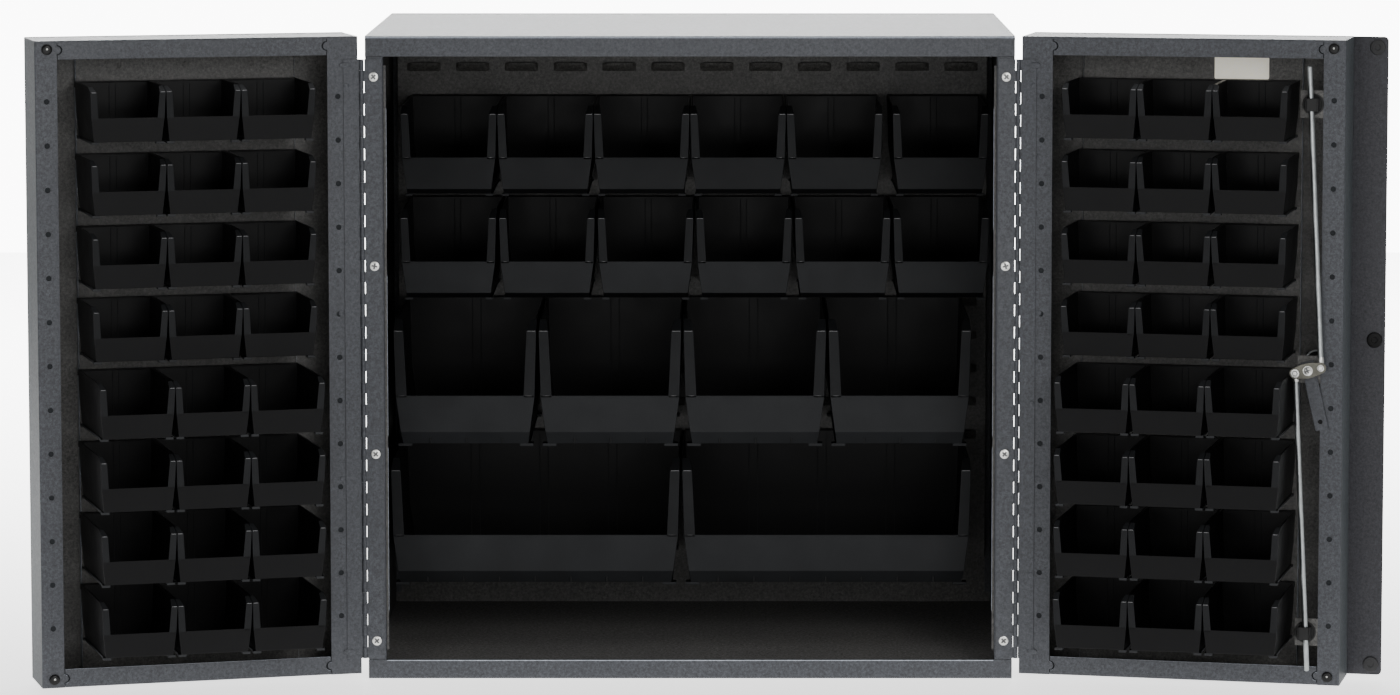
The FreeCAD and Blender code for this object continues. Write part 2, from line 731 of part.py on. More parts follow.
def pivot_place(sign):
    """A rod's pivot on the cam; sign is 1 for the upper rod and -1 for the lower."""
    x = "(%s + %s * cam_radius * cos(cam_tilt_angle))" % (LATCH_X, sign)
    z = "(latch_height + %s * cam_radius * sin(cam_tilt_angle))" % sign
    return x, z


def latch_cam():
    body = new_body("latch_cam")
    pad(body, "XZ_Plane", turned_outline(cam_outline(), "cam_tilt_angle"), "cam_gauge", "-(%s)" % CAM_BACK)
    for sign in ("1", "-1"):
        x, z = pivot_place(sign)
        sides = COUNTS["bore_sides"]
        hole = round_a("rod_hook_radius + running_gap", sides)
        prism_cut(body, sides, hole, "cam_gauge + 2 * overrun", x, CAM_BACK + " + overrun", z, 90)
    square_hole(body, CAM_BACK + " + overrun", "cam_gauge + 2 * overrun", "cam_tilt_angle")
    in_door(body, "right")


def latch_arm():
    body = new_body("latch_arm")
    half = "arm_width / 2"
    back = FLANGE_FACE + " - arm_gap"
    bar = rectangle("-" + half, half, "-arm_length", half)
    pad(body, "XZ_Plane", turned_outline(bar, "cam_tilt_angle"), "arm_gauge", "-(%s)" % back)
    x = LATCH_X + " + (arm_length - arm_width / 2) * sin(cam_tilt_angle)"
    z = "latch_height - (arm_length - arm_width / 2) * cos(cam_tilt_angle)"
    sides = COUNTS["bore_sides"]
    prism_cut(body, sides, "arm_hole_radius", "arm_gauge + 2 * overrun", x, back + " + overrun", z, 90)
    square_hole(body, back + " + overrun", "arm_gauge + 2 * overrun", "cam_tilt_angle")
    in_door(body, "right")


def latch_spindle():
    body = new_body("latch_spindle")
    half = "(spindle_size / 2)"
    corners = turned_outline(rectangle("-" + half, half, "-" + half, half), "cam_tilt_angle")
    back = SKIN + " + escutcheon_height + handle_socket"
    length = "%s - %s + cam_gauge" % (back, CAM_BACK)
    pad(body, "XZ_Plane", corners, length, "-(%s)" % back)
    in_door(body, "right")


def cam_screw():
    face = CAM_BACK + " - cam_gauge"
    head = turned_stud("head", "cam_screw_radius", "cam_screw_height", LATCH_X, face, "latch_height")
    in_door(group("cam_screw", [head]), "right")


def handle_escutcheon():
    """A round plate outside the skin, with a sleeve through it and a locknut inside."""
    outside = SKIN + " + escutcheon_height"
    inside = SKIN + " - sheet_gauge"
    sleeve_length = "escutcheon_height + sheet_gauge + locknut_height + overrun"
    plate = stud("plate", "escutcheon_radius", "escutcheon_height", LATCH_X, outside, "latch_height")
    sleeve = stud("sleeve", "sleeve_radius", sleeve_length, LATCH_X, outside, "latch_height")
    nut = stud("locknut", "locknut_radius", "locknut_height", LATCH_X, inside, "latch_height")
    solid = doc.addObject("Part::MultiFuse", "escutcheon_solid")
    solid.Shapes = [plate, sleeve, nut]
    hole = doc.addObject("Part::Prism", "spindle_passage")
    hole.Polygon = COUNTS["bore_sides"]
    bind(hole, Circumradius="passage_radius", Height="door_depth")
    hole.Placement = Placement(Vector(), Rotation(Vector(1, 0, 0), 90))
    place(hole, LATCH_X, SKIN + " + escutcheon_height + overrun", "latch_height")
    drilled = doc.addObject("Part::Cut", "handle_escutcheon")
    drilled.Base = solid
    drilled.Tool = hole
    in_door(keep(drilled, "handle_escutcheon"), "right")


def door_handle():
    """A round hub with a tapered lever that lies level while the latch is open."""
    body = new_body("door_handle")
    y_low = SKIN + " + escutcheon_height + running_gap"
    y_high = y_low + " + handle_hub_height"
    hub = body.newObject("PartDesign::AdditivePrism", "hub")
    hub.Polygon = COUNTS["round_sides"]
    bind(hub, Circumradius="handle_hub_radius", Height="handle_hub_height")
    hub.Placement = Placement(Vector(), Rotation(Vector(1, 0, 0), 90))
    place(hub, LATCH_X, y_high, "latch_height")
    body.Tip = hub
    half = "handle_width / 2"
    tip = "handle_tip_width / 2"
    far = LATCH_X + " - handle_length"
    lever = [(LATCH_X, "latch_height - " + half), (far + " + " + tip, "latch_height - " + tip)]
    lever += [(far, "latch_height - %s / 2" % tip), (far, "latch_height + %s / 2" % tip)]
    lever += [(far + " + " + tip, "latch_height + " + tip), (LATCH_X, "latch_height + " + half)]
    pad(body, "XZ_Plane", lever, "handle_gauge", "-(%s)" % y_high)
    square_hole(body, y_low + " + handle_socket", "handle_socket + overrun", "cam_tilt_angle")
    in_door(body, "right")


def latch_rod(label, sign):
    """A round rod whose end is turned through the cam and held by a push-on clip."""
    sway = "cam_radius * cos(cam_tilt_angle)"
    spacing = "(%s * (%s - latch_height))" % (sign, guide_places()[0 if sign == "1" else 1][1])
    rise = "(%s - cam_radius * sin(cam_tilt_angle))" % spacing
    lean = "atan(%s / %s)" % (sway, rise)
    x, z = pivot_place(sign)
    rod = doc.addObject("Part::Cylinder", label + "_shank")
    bind(rod, Radius="rod_radius", Height=spacing + " + rod_overshoot")
    turn = "-(%s)" % lean if sign == "1" else "180 deg - %s" % lean
    rod.Placement = Placement(Vector(), Rotation(Vector(0, 1, 0), 1))
    place(rod, x, ROD_Y, z)
    rod.setExpression("Placement.Rotation.Angle", bound(turn))
    hook_end = "%s - cam_gauge - clip_height - running_gap" % CAM_BACK
    hook = turned_stud(label + "_hook", "rod_hook_radius", "%s - (%s)" % (ROD_Y, hook_end), x, ROD_Y, z)
    clip = stud(label + "_clip", "clip_radius", "clip_height", x, hook_end + " + clip_height", z)
    solid = doc.addObject("Part::MultiFuse", label)
    solid.Shapes = [rod, hook, clip]
    in_door(keep(solid, label), "right")


# Bins
def extrusion(name, plane_turn, corners, direction, start, length):
    """A prism over an outline in YZ or XZ, running from start along direction."""
    sketch = doc.addObject("Sketcher::SketchObject", name + "_outline")
    sketch.Placement = Placement(Vector(), plane_turn)
    draw(sketch, corners)
    solid = doc.addObject("Part::Extrusion", name)
    solid.Base = sketch
    solid.DirMode = "Custom"
    solid.Dir = direction
    solid.Solid = True
    bind(solid, LengthFwd=length, LengthRev=start)
    return solid


IN_YZ = Rotation(Vector(1, 1, 1), 120)
IN_XZ = Rotation(Vector(1, 0, 0), 90)


def bin_master(name, kind, width, length):
    """One hanging bin: origin at the middle of its lower back edge, open front towards -Y."""
    height = BIN_HEIGHTS[kind]
    toe = kind + "_toe"
    rise = kind + "_toe_rise"
    corner_z = "%s - %s_corner_rise" % (height, kind)
    corner_y = "-(%s - %s_corner_run)" % (length, kind)
    shoulder = kind + "_shoulder"
    under = height + " - hook_gauge"
    drop = under + " - hook_drop"
    lip = "hook_reach - hook_lip"
    half = width + " / 2"
    low_half = "(%s / 2 - %s_taper)" % (width, kind)
    front = "-" + length
    side = [("0", "0"), ("0", under), (lip, under), (lip, drop), ("hook_reach", drop), ("hook_reach", height)]
    side += [(corner_y, height), (front, corner_z), (front, rise), ("-(%s - %s)" % (length, toe), "0")]
    face = [("-" + low_half, "0"), (low_half, "0"), (half, shoulder), (half, height), ("-" + half, height)]
    face.append(("-" + half, shoulder))
    across = extrusion(name + "_side", IN_YZ, side, Vector(1, 0, 0), half, half)
    through = extrusion(name + "_face", IN_XZ, face, Vector(0, 1, 0), length, "hook_reach")
    outer = doc.addObject("Part::MultiCommon", name + "_outer")
    outer.Shapes = [across, through]
    inner_front = "-(%s - wall)" % length
    over = height + " + overrun"
    hollow_side = [("-wall", "wall"), ("-wall", over), (inner_front, over), (inner_front, rise + " + wall")]
    hollow_side.append(("-(%s - %s)" % (length, toe), "wall"))
    inner_half = "(%s / 2 - wall)" % width
    inner_low = "(%s - wall)" % low_half
    hollow_face = [("-" + inner_low, "0"), (inner_low, "0"), (inner_half, shoulder), (inner_half, over)]
    hollow_face += [("-" + inner_half, over), ("-" + inner_half, shoulder)]
    side_hollow = extrusion(name + "_hollow_side", IN_YZ, hollow_side, Vector(1, 0, 0), half, half)
    face_hollow = extrusion(name + "_hollow_face", IN_XZ, hollow_face, Vector(0, 1, 0), length, "0")
    hollow = doc.addObject("Part::MultiCommon", name + "_hollow")
    hollow.Shapes = [side_hollow, face_hollow]
    mouth_half = "(%s / 2 - %s_wing)" % (width, kind)
    mouth = rectangle("-" + mouth_half, mouth_half, shoulder, over)
    ahead = "%s + overrun" % length
    opening = extrusion(name + "_mouth", IN_XZ, mouth, Vector(0, 1, 0), ahead, "-(%s - 2 * wall)" % length)
    room = doc.addObject("Part::MultiFuse", name + "_room")
    room.Shapes = [hollow, opening]
    shell = doc.addObject("Part::Cut", name)
    shell.Base = outer
    shell.Tool = room
    return shell


def copy_of(master, name, x, y, z):
    """A bin at its place."""
    one = doc.addObject("Part::Compound", name)
    one.Links = [master]
    place(one, x, y, z)
    return one


def cabinet_bins(masters):
    """Four rows; each is master, section, count, width, and louvre rows below the free one."""
    rows = (
        ("one", "middle", "middle", 6, "middle_width", 1),
        ("two", "middle", "middle", 6, "middle_width", 4),
        ("three", "large", "large", 4, "large_width", 7),
        ("four", "wide", "large", 2, "wide_width", 11),
    )
    for number, kind, section, count, width, louvres in rows:
        for i in range(count):
            x = "%s / 2 - row_%s_start + %d * row_%s_pitch" % (width, number, i, number)
            if number == "one" and i == count - 1:
                x += " + row_one_last_gap"
            label = "bin_row_%s_%d" % (number, i + 1)
            tip = "cabinet_height - free_row_drop - %d * %s" % (louvres, ROW_PITCH)
            low = "%s + hook_seat_gap + hook_gauge - %s" % (tip, BIN_HEIGHTS[section])
            keep(copy_of(masters[kind], label, x, PANEL_FACE + " - panel_to_bin", low), label)


def door_bins(masters, side):
    """Eight rows of three; the upper four are short and the lower four long. Two rows make one sub-part."""
    for pair in range(COUNTS["door_louvre_rows"] // 2):
        pieces = []
        for row in (2 * pair, 2 * pair + 1):
            kind = "short" if row < COUNTS["short_rows"] else "long"
            start = "%s + %s_bin_start + small_width / 2" % (DOOR_EDGE, side)
            for i in range(COUNTS["bins_across"]):
                x = "%s * (%s + %d * door_bin_pitch)" % (SIGNS[side], start, i)
                z = "%s - %s - %d * %s" % (DOOR_ROW_TOP, BIN_HEIGHTS["small"], row, DOOR_ROW_PITCH)
                pieces.append(copy_of(masters[kind], "door_bin", x, DOOR_PANEL + " - panel_to_bin", z))
        in_door(group("%s_door_bins_%d" % (side, pair + 1), pieces), side)


top_panel()
bottom_panel()
back_panel()
louvre_panel()
for hand in SIGNS:
    side_panel(hand)
    door_pan(hand)
    door_louvre_panel(hand)
    hinge(hand)
    door_bumpers(hand)
hinge_screws()
overlap_strip()
overlap_pads()
rod_guides()
handle_escutcheon()
door_handle()
latch_spindle()
latch_cam()
latch_arm()
cam_screw()
latch_rod("upper_rod", "1")
latch_rod("lower_rod", "-1")
bins = {
    "short": bin_master("short_bin", "small", "small_width", "short_length"),
    "long": bin_master("long_bin", "small", "small_width", "long_length"),
    "middle": bin_master("middle_bin", "middle", "middle_width", "middle_length"),
    "large": bin_master("large_bin", "large", "large_width", "large_length"),
    "wide": bin_master("wide_bin", "large", "wide_width", "large_length"),
}
cabinet_bins(bins)
for hand in SIGNS:
    door_bins(bins, hand)

doc.recompute()
for thing in doc.Objects:
    if "Invalid" in thing.State or "Error" in thing.State:
        raise RuntimeError("failed: " + thing.Name)
for node in nodes:
    if node.Shape.isNull() or not node.Shape.isValid():
        raise RuntimeError("bad shape: " + node.Label)
os.makedirs("parts", exist_ok=True)
for node in nodes:
    node.Shape.exportStep("parts/%s.step" % node.Label)
print(len(nodes), "sub-parts")
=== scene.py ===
import random
from math import atan, copysign, cos, pi, radians, sin, tan

import bmesh
import bpy
from mathutils import Matrix, Vector


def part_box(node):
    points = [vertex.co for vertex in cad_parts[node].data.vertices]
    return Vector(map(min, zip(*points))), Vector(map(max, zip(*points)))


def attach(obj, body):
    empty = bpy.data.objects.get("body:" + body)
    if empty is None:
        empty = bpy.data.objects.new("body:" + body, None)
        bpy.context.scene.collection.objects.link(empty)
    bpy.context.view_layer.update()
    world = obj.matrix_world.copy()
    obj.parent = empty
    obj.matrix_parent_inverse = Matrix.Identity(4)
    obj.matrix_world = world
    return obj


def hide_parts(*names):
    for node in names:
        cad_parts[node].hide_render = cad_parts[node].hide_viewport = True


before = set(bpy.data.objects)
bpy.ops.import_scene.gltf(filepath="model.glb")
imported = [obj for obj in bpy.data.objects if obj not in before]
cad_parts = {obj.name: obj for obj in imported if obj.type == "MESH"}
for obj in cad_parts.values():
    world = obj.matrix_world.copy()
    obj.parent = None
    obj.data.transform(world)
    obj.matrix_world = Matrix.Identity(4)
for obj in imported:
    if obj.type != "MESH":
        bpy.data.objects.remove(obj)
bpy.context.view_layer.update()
scene = bpy.context.scene
rng = random.Random(11)
at = Matrix.Translation

# Lengths are in millimetres until a mesh is finished
MM = 0.001
WIDTH, DEPTH, HEIGHT = 914.4, 609.6, 914.4
GAUGE, THIN = 1.9, 1.2  # shell and doors, louvred sheets
FRONT, BACK, SIDE = -DEPTH / 2, DEPTH / 2, WIDTH / 2
PANEL = 546.0 - DEPTH / 2  # front of the louvred sheet at the back
STILE, RAIL = 25.4, 28.7
RIM = 0.9
LOUVRE_PITCH = 73.6
PIN_X, PIN_Y = SIDE + 4.6, FRONT - 2.0
HINGE_LOW, HINGE_HIGH, KNUCKLE_PITCH = 30.0, 882.0, 31.5
# A door is drawn with its pin at x = 0: EDGE and FREE are its ends, the flanges lie at y = FLANGE, the
# skin's outer face at y = SKIN, and the flanges' inner edges at HINGE_FLANGE and FREE_FLANGE
EDGE, FREE = 4.6, 4.6 + 455.7
LOW, TOP = 8.0, HEIGHT
FLANGE, SKIN = 2.0, 101.0
HINGE_FLANGE, FREE_FLANGE = EDGE + 44, FREE - 31
HOLE_PITCH, HOLES = 61.5, 13
TAB, SEAM = 5.6, 1.1
DOOR_PANEL = SKIN - GAUGE - 13.1
DOOR_ROW, DOOR_ROW_PITCH = 852.5, 101.6
LATCH_X, LATCH_Z, GUIDE_RISE = FREE - 46.7, 454.0, 371
STRIP_PAD_Z = 486.0
ANGLE = {"left": radians(15.9), "right": radians(-13.0)}


def door(side):
    """Door drawing frame to the row frame; the left door is drawn as the right one and mirrored."""
    sign = -1 if side == "left" else 1
    place = at((sign * PIN_X, PIN_Y, 0)) @ Matrix.Rotation(ANGLE[side], 4, "Z")
    return place @ Matrix.Diagonal((sign, 1, 1, 1))


# ---- materials
class Tree:
    """The node tree of a material or a world, with short ways to add the usual nodes."""

    def __init__(self, owner):
        owner.use_nodes = True
        self.owner, self.nodes, self.links = owner, owner.node_tree.nodes, owner.node_tree.links
        self.shader = self.nodes.get("Principled BSDF")

    def new(self, kind, **values):
        """A node with values on its sockets."""
        node = self.nodes.new("ShaderNode" + kind)
        for key, value in values.items():
            node.inputs[key.replace("_", " ")].default_value = value
        return node

    def set(self, socket, value):
        self.shader.inputs[socket].default_value = value

    def feed(self, source, socket):
        self.links.new(source, self.shader.inputs[socket])

    def noise(self, scale, detail=3.0, rough=0.55, stretch=None):
        where = self.new("TexCoord").outputs["Object"]
        texture = self.new("TexNoise", Scale=scale, Detail=detail, Roughness=rough)
        if stretch:
            mapping = self.new("Mapping", Scale=stretch)
            self.links.new(where, mapping.inputs["Vector"])
            where = mapping.outputs["Vector"]
        self.links.new(where, texture.inputs["Vector"])
        return texture.outputs["Fac"]

    def ramp(self, source, *stops):
        """Colours along the source; a stop is a place and a grey or a colour."""
        stops = [(place, (tone,) * 3 if isinstance(tone, float) else tone) for place, tone in stops]
        node = self.new("ValToRGB")
        marks = node.color_ramp.elements
        for mark, (place, colour) in ((marks[0], stops[0]), (marks[1], stops[-1])):
            mark.position, mark.color = place, (*colour, 1)
        for place, colour in stops[1:-1]:
            marks.new(place).color = (*colour, 1)
        self.links.new(source, node.inputs["Fac"])
        return node.outputs["Color"]

    def span(self, source, low, high, a=0.0, b=1.0, curve="LINEAR"):
        node = self.new("MapRange", From_Min=a, From_Max=b, To_Min=low, To_Max=high)
        node.interpolation_type = curve
        self.links.new(source, node.inputs["Value"])
        return node.outputs["Result"]

    def multiply(self, first, second):
        node = self.new("Mix")
        node.data_type, node.blend_type = "RGBA", "MULTIPLY"
        node.inputs["Factor"].default_value = 1.0
        self.links.new(first, node.inputs["A"])
        self.links.new(second, node.inputs["B"])
        return node.outputs["Result"]

    def axes(self, space):
        """The x, y and z of a texture space."""
        node = self.new("SeparateXYZ")
        self.links.new(self.new("TexCoord").outputs[space], node.inputs["Vector"])
        return node.outputs

    def math(self, operation, *sources):
        node = self.new("Math")
        node.operation = operation
        for source, socket in zip(sources, node.inputs):
            self.links.new(source, socket)
        return node.outputs[0]

    def bump(self, height, strength, distance):
        node = self.new("Bump", Strength=strength, Distance=distance)
        self.links.new(height, node.inputs["Height"])
        self.feed(node.outputs["Normal"], "Normal")


def shade(colour, factor):
    return tuple(c * factor for c in colour)


def powder_coat(name, colour, contrast=0.32, rough=0.42, specular=0.4):
    """Powder coat: pale and dark specks, a slow change of tone and a light orange peel."""
    tree = Tree(bpy.data.materials.new(name))
    specks = tree.ramp(tree.noise(250, 4.0, 0.85), (0.34, shade(colour, 1 - contrast)), (0.5, colour),
                       (0.68, shade(colour, 1 + contrast * 1.3)))
    fine = tree.ramp(tree.noise(1300, 2.0), (0.35, 0.84), (0.65, 1.1))
    slow = tree.ramp(tree.noise(5.5, 4.0), (0.3, (0.88, 0.885, 0.9)), (0.7, 1.0))
    tree.feed(tree.multiply(tree.multiply(specks, fine), slow), "Base Color")
    tree.feed(tree.span(tree.noise(160), rough - 0.06, rough + 0.08), "Roughness")
    tree.bump(tree.noise(520, 3.0, 0.6), 0.35, 0.00035)
    tree.set("Specular IOR Level", specular)
    return tree.owner


def moulded(name, colour, rough=0.4, specular=0.45):
    """Moulded plastic: fine satin grain with faint flow marks and rubbed spots."""
    tree = Tree(bpy.data.materials.new(name))
    tone = tree.ramp(tree.noise(14, 5.0, 0.6), (0.3, shade(colour, 0.82)), (0.7, shade(colour, 1.15)))
    grain = tree.ramp(tree.noise(700, 2.0), (0.35, 0.85), (0.7, 1.0))
    tree.feed(tree.multiply(tone, grain), "Base Color")
    tree.feed(tree.span(tree.noise(30, 4.0), rough - 0.07, rough + 0.1), "Roughness")
    tree.bump(tree.noise(1100, 2.0), 0.12, 0.0002)
    tree.set("Specular IOR Level", specular)
    return tree.owner


def plated(name, colour, rough=0.28, stretch=(1, 1, 0.12)):
    """Bright zinc plate: fine drawn lines, cloudy patches and dull spots."""
    tree = Tree(bpy.data.materials.new(name))
    tree.set("Metallic", 1.0)
    cloud = tree.ramp(tree.noise(60, 5.0, 0.65), (0.3, shade(colour, 0.72)), (0.7, colour))
    lines = tree.ramp(tree.noise(900, 2.0, 0.5, stretch), (0.3, 0.86), (0.6, 1.0))
    tree.feed(tree.multiply(cloud, lines), "Base Color")
    tree.feed(tree.span(tree.noise(150, 4.0), rough - 0.08, rough + 0.16), "Roughness")
    tree.bump(tree.noise(700, 2.0, 0.5, stretch), 0.12, 0.0002)
    return tree.owner


GREY = powder_coat("grey_powder_coat", (0.050, 0.053, 0.060), 0.44, 0.42, 0.25)
# painted light: a lighter, warmer copy of the grey paint for the faces inside the cabinet and the doors,
# standing in for fill light in their shade
INNER_FILL_COAT = powder_coat("inner_painted_fill_coat", (0.066, 0.064, 0.060), 0.72, 0.5)
# painted light: a much lighter copy of the paint for the cabinet's floor, standing in for the light on it
FLOOR_FILL_COAT = powder_coat("floor_painted_fill_coat", (0.19, 0.185, 0.178), 0.8, 0.5)
# painted light: a paler, bluer copy of the paint with little gloss for the top faces, standing in for the
# reflection of the bright backdrop
TOP_SHEEN_COAT = powder_coat("top_painted_sheen_coat", (0.075, 0.092, 0.108), 0.4, 0.42, 0.09)
# painted shade: a copy of the paint with almost no gloss for the free side's outer face, damping the light it
# reflects
RETURN_SHADE_COAT = powder_coat("return_painted_shade_coat", (0.054, 0.060, 0.064), 0.4, 0.42, 0.02)
# painted shade: a darker copy of the paint for the overlap strip
STRIP_SHADE_COAT = powder_coat("strip_painted_shade_coat", (0.029, 0.029, 0.034), 0.44, 0.42, 0.25)
# painted light: a pale copy of the paint for highlights along edges and to lighten shaded faces
PAINTED_LIGHT = powder_coat("painted_light_coat", (0.34, 0.37, 0.42), 0.3, 0.3)
BLACK = moulded("black_bin_plastic", (0.0032, 0.0032, 0.0035), 0.34, 0.10)
# painted light and shade: the bins' fronts wear copies of their plastic, lighter than its plain black; lit in
# the doors, darker inside the cabinet, darkest for the top row and the wings
LIT_FRONT_FACE = moulded("lit_bin_front", (0.0195, 0.0205, 0.0220), 0.55, 0.14)
INSIDE_SHADE_FACE = moulded("shaded_bin_front_inside", (0.0140, 0.0148, 0.0160), 0.55, 0.12)
SHADED_FACE = moulded("shaded_bin_front_and_wings", (0.0095, 0.0100, 0.0108), 0.55, 0.10)
GUIDE = moulded("guide_plastic", (0.010, 0.010, 0.010), 0.5, 0.25)
RUBBER = moulded("bumper_rubber", (0.0035, 0.0035, 0.0035), 0.3, 0.22)
PAD = moulded("pad_rubber", (0.017, 0.017, 0.018), 0.5, 0.3)
# painted shadow: dark plates and strips behind the doors' holes, seams and hinge gaps
SHADOW_COAT = moulded("seam_shadow", (0.016, 0.018, 0.020), 0.6, 0.1)
# painted shade in the cross recesses of the zinc screws
RECESS_SHADE = plated("screw_recess_shade", (0.10, 0.10, 0.10), 0.3)
ZINC = plated("zinc_plate", (0.74, 0.74, 0.71))
ROD = plated("drawn_rod", (0.42, 0.445, 0.445), 0.34, (1, 1, 0.05))
# painted highlight: pale glossy beads on the bins' edges
EDGE_HIGHLIGHT = moulded("painted_bin_edge_highlight", (0.16, 0.16, 0.165), 0.22, 0.6)
# painted highlight: a bright arc on the escutcheon's nut
GLINT_METAL = moulded("painted_glint_metal", (0.62, 0.64, 0.66), 0.3, 0.6)
BRASSY = plated("cam_plate", (0.125, 0.122, 0.104), 0.36)
CHROME = plated("handle_plate", (0.78, 0.78, 0.78), 0.16)
LABEL = moulded("bare_label", (0.95, 0.92, 0.80), 0.5, 0.3)
# painted light: the label glows a little, lightening it in the shade near the door's top
Tree(LABEL).set("Emission Color", (0.95, 0.90, 0.76, 1))
Tree(LABEL).set("Emission Strength", 0.28)


# ---- mesh helpers
def new_object(name, data):
    obj = bpy.data.objects.new(name, data)
    scene.collection.objects.link(obj)
    return obj


def soften(bm, width, degrees, segments=2):
    """Rounds the edges that are sharper than so many degrees."""
    bm.normal_update()
    sharp = [e for e in bm.edges if e.calc_face_angle(0) > radians(degrees)]
    bmesh.ops.bevel(bm, geom=sharp, offset=width, segments=segments, profile=0.5, affect="EDGES",
                    clamp_overlap=True)


def outward(bm):
    """Turns all faces outwards."""
    bmesh.ops.recalc_face_normals(bm, faces=bm.faces)
    return bm


def dress(name, bm, coats, body, matrix=None, edge=0.0, replaced=None):
    """Turns the mesh into an object in the row frame and puts it on its body.

    With more than one coat, a face wears the one that its material index counts to.
    """
    if edge:
        soften(bm, edge, 35)
    if matrix is not None:
        bm.transform(matrix)
        if matrix.determinant() < 0:
            bmesh.ops.reverse_faces(bm, faces=bm.faces)
    bm.transform(Matrix.Scale(MM, 4))
    mesh = bpy.data.meshes.new(name)
    bm.to_mesh(mesh)
    bm.free()
    mesh.shade_smooth()
    mesh.set_sharp_from_angle(angle=radians(32))
    obj = new_object(name, mesh)
    for coat in coats if isinstance(coats, tuple) else (coats,):
        mesh.materials.append(coat)
    obj.modifiers.new("weighted", "WEIGHTED_NORMAL").keep_sharp = True
    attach(obj, body)
    if replaced:
        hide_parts(replaced)


def merge(bm, other, matrix=None):
    """Adds a copy of another mesh to bm."""
    mesh = bpy.data.meshes.new("part")
    copy = other.copy()
    if matrix is not None:
        copy.transform(matrix)
    copy.to_mesh(mesh)
    copy.free()
    bm.from_mesh(mesh)
    bpy.data.meshes.remove(mesh)


def add(bm, other, matrix=None):
    """Merges another mesh into bm and frees it."""
    merge(bm, other, matrix)
    other.free()


def collect(pieces):
    bm = bmesh.new()
    for piece in pieces:
        add(bm, piece)
    return bm


def paint(bm, index):
    """Gives all faces one material index."""
    for face in bm.faces:
        face.material_index = index
    return bm


def inside(bm, test, index=1):
    """Gives the faces whose middle and normal the test picks a material index."""
    bm.normal_update()
    for face in bm.faces:
        if test(face.calc_center_median(), face.normal):
            face.material_index = index


def from_node(node):
    """The CAD node's surface, in millimetres, with its flat faces made whole."""
    bm = bmesh.new()
    bm.from_mesh(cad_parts[node].data)
    bm.transform(Matrix.Scale(1 / MM, 4))
    bmesh.ops.remove_doubles(bm, verts=bm.verts, dist=0.01)
    bmesh.ops.dissolve_limit(bm, angle_limit=radians(1.0), verts=bm.verts, edges=bm.edges)
    return bm


def block(low, high):
    bm = bmesh.new()
    size = [h - l for l, h in zip(low, high)]
    middle = [(h + l) / 2 for l, h in zip(low, high)]
    bmesh.ops.create_cube(bm, size=1, matrix=at(middle) @ Matrix.Diagonal((*size, 1)))
    return bm


def filleted(points, radius, steps=5):
    """A polyline with its corners rounded."""
    path = [Vector(points[0])]
    for before, corner, after in zip(points, points[1:], points[2:]):
        a, b, c = Vector(before), Vector(corner), Vector(after)
        u, v = a - b, c - b
        turn = pi - u.angle(v)
        reach = min(radius * tan(turn / 2), u.length * 0.49, v.length * 0.49)
        u.normalize()
        v.normalize()
        start, end = b + u * reach, b + v * reach
        for i in range(steps + 1):
            t = i / steps
            path.append(start * (1 - t) ** 2 + b * 2 * t * (1 - t) + end * t ** 2)
    path.append(Vector(points[-1]))
    return path


# the axes of a folded line's two numbers and of the direction in which it is drawn out
UPRIGHT, ACROSS = (0, 1, 2), (1, 2, 0)


def folded(points, gauge, radius, low, high, axes=UPRIGHT):
    """Sheet metal folded along a 2-D line (its middle), drawn out from low to high on the third axis."""
    path = filleted(points, radius)
    rails = []
    for i, p in enumerate(path):
        ahead = path[min(i + 1, len(path) - 1)] - path[max(i - 1, 0)]
        normal = Vector((-ahead.y, ahead.x)).normalized() * gauge / 2
        rails.append((p + normal, p - normal))
    bm = bmesh.new()

    def vertex(p, w):
        spot = [0, 0, 0]
        spot[axes[0]], spot[axes[1]], spot[axes[2]] = p.x, p.y, w
        return bm.verts.new(spot)

    first, last = [[(vertex(a, w), vertex(b, w)) for a, b in rails] for w in (low, high)]
    for i in range(len(rails) - 1):
        bm.faces.new((first[i][0], first[i + 1][0], last[i + 1][0], last[i][0]))
        bm.faces.new((first[i][1], last[i][1], last[i + 1][1], first[i + 1][1]))
    bm.faces.new((first[0][0], last[0][0], last[0][1], first[0][1]))
    bm.faces.new((first[-1][0], first[-1][1], last[-1][1], last[-1][0]))
    for row in (first, last):
        for i in range(len(rails) - 1):
            bm.faces.new((row[i][0], row[i][1], row[i + 1][1], row[i + 1][0]))
    return outward(bm)


def arc(x, y, radius, degrees):
    """Points around x, y at the given angles."""
    turns = [radians(a) for a in degrees]
    return [(x + radius * cos(a), y + radius * sin(a)) for a in turns]


def circle(x, y, radius, count=20):
    turns = [2 * pi * i / count for i in range(count)]
    return [(x + radius * cos(a), y + radius * sin(a)) for a in turns]


def rectangle(x0, x1, y0, y1):
    return [(x0, y0), (x1, y0), (x1, y1), (x0, y1)]


def rounded(x0, x1, y0, y1, radius, steps=4):
    """A rectangle with round corners."""
    loop = []
    for x, y, start in ((x1 - radius, y0 + radius, -90), (x1 - radius, y1 - radius, 0),
                        (x0 + radius, y1 - radius, 90), (x0 + radius, y0 + radius, 180)):
        loop += arc(x, y, radius, [start + 90 * i / steps for i in range(steps + 1)])
    return loop


def evaluated(obj):
    """The object's shape as its curve or modifiers make it."""
    bpy.context.view_layer.update()
    mesh = bpy.data.meshes.new_from_object(obj.evaluated_get(bpy.context.evaluated_depsgraph_get()))
    bm = bmesh.new()
    bm.from_mesh(mesh)
    bpy.data.meshes.remove(mesh)
    return bm


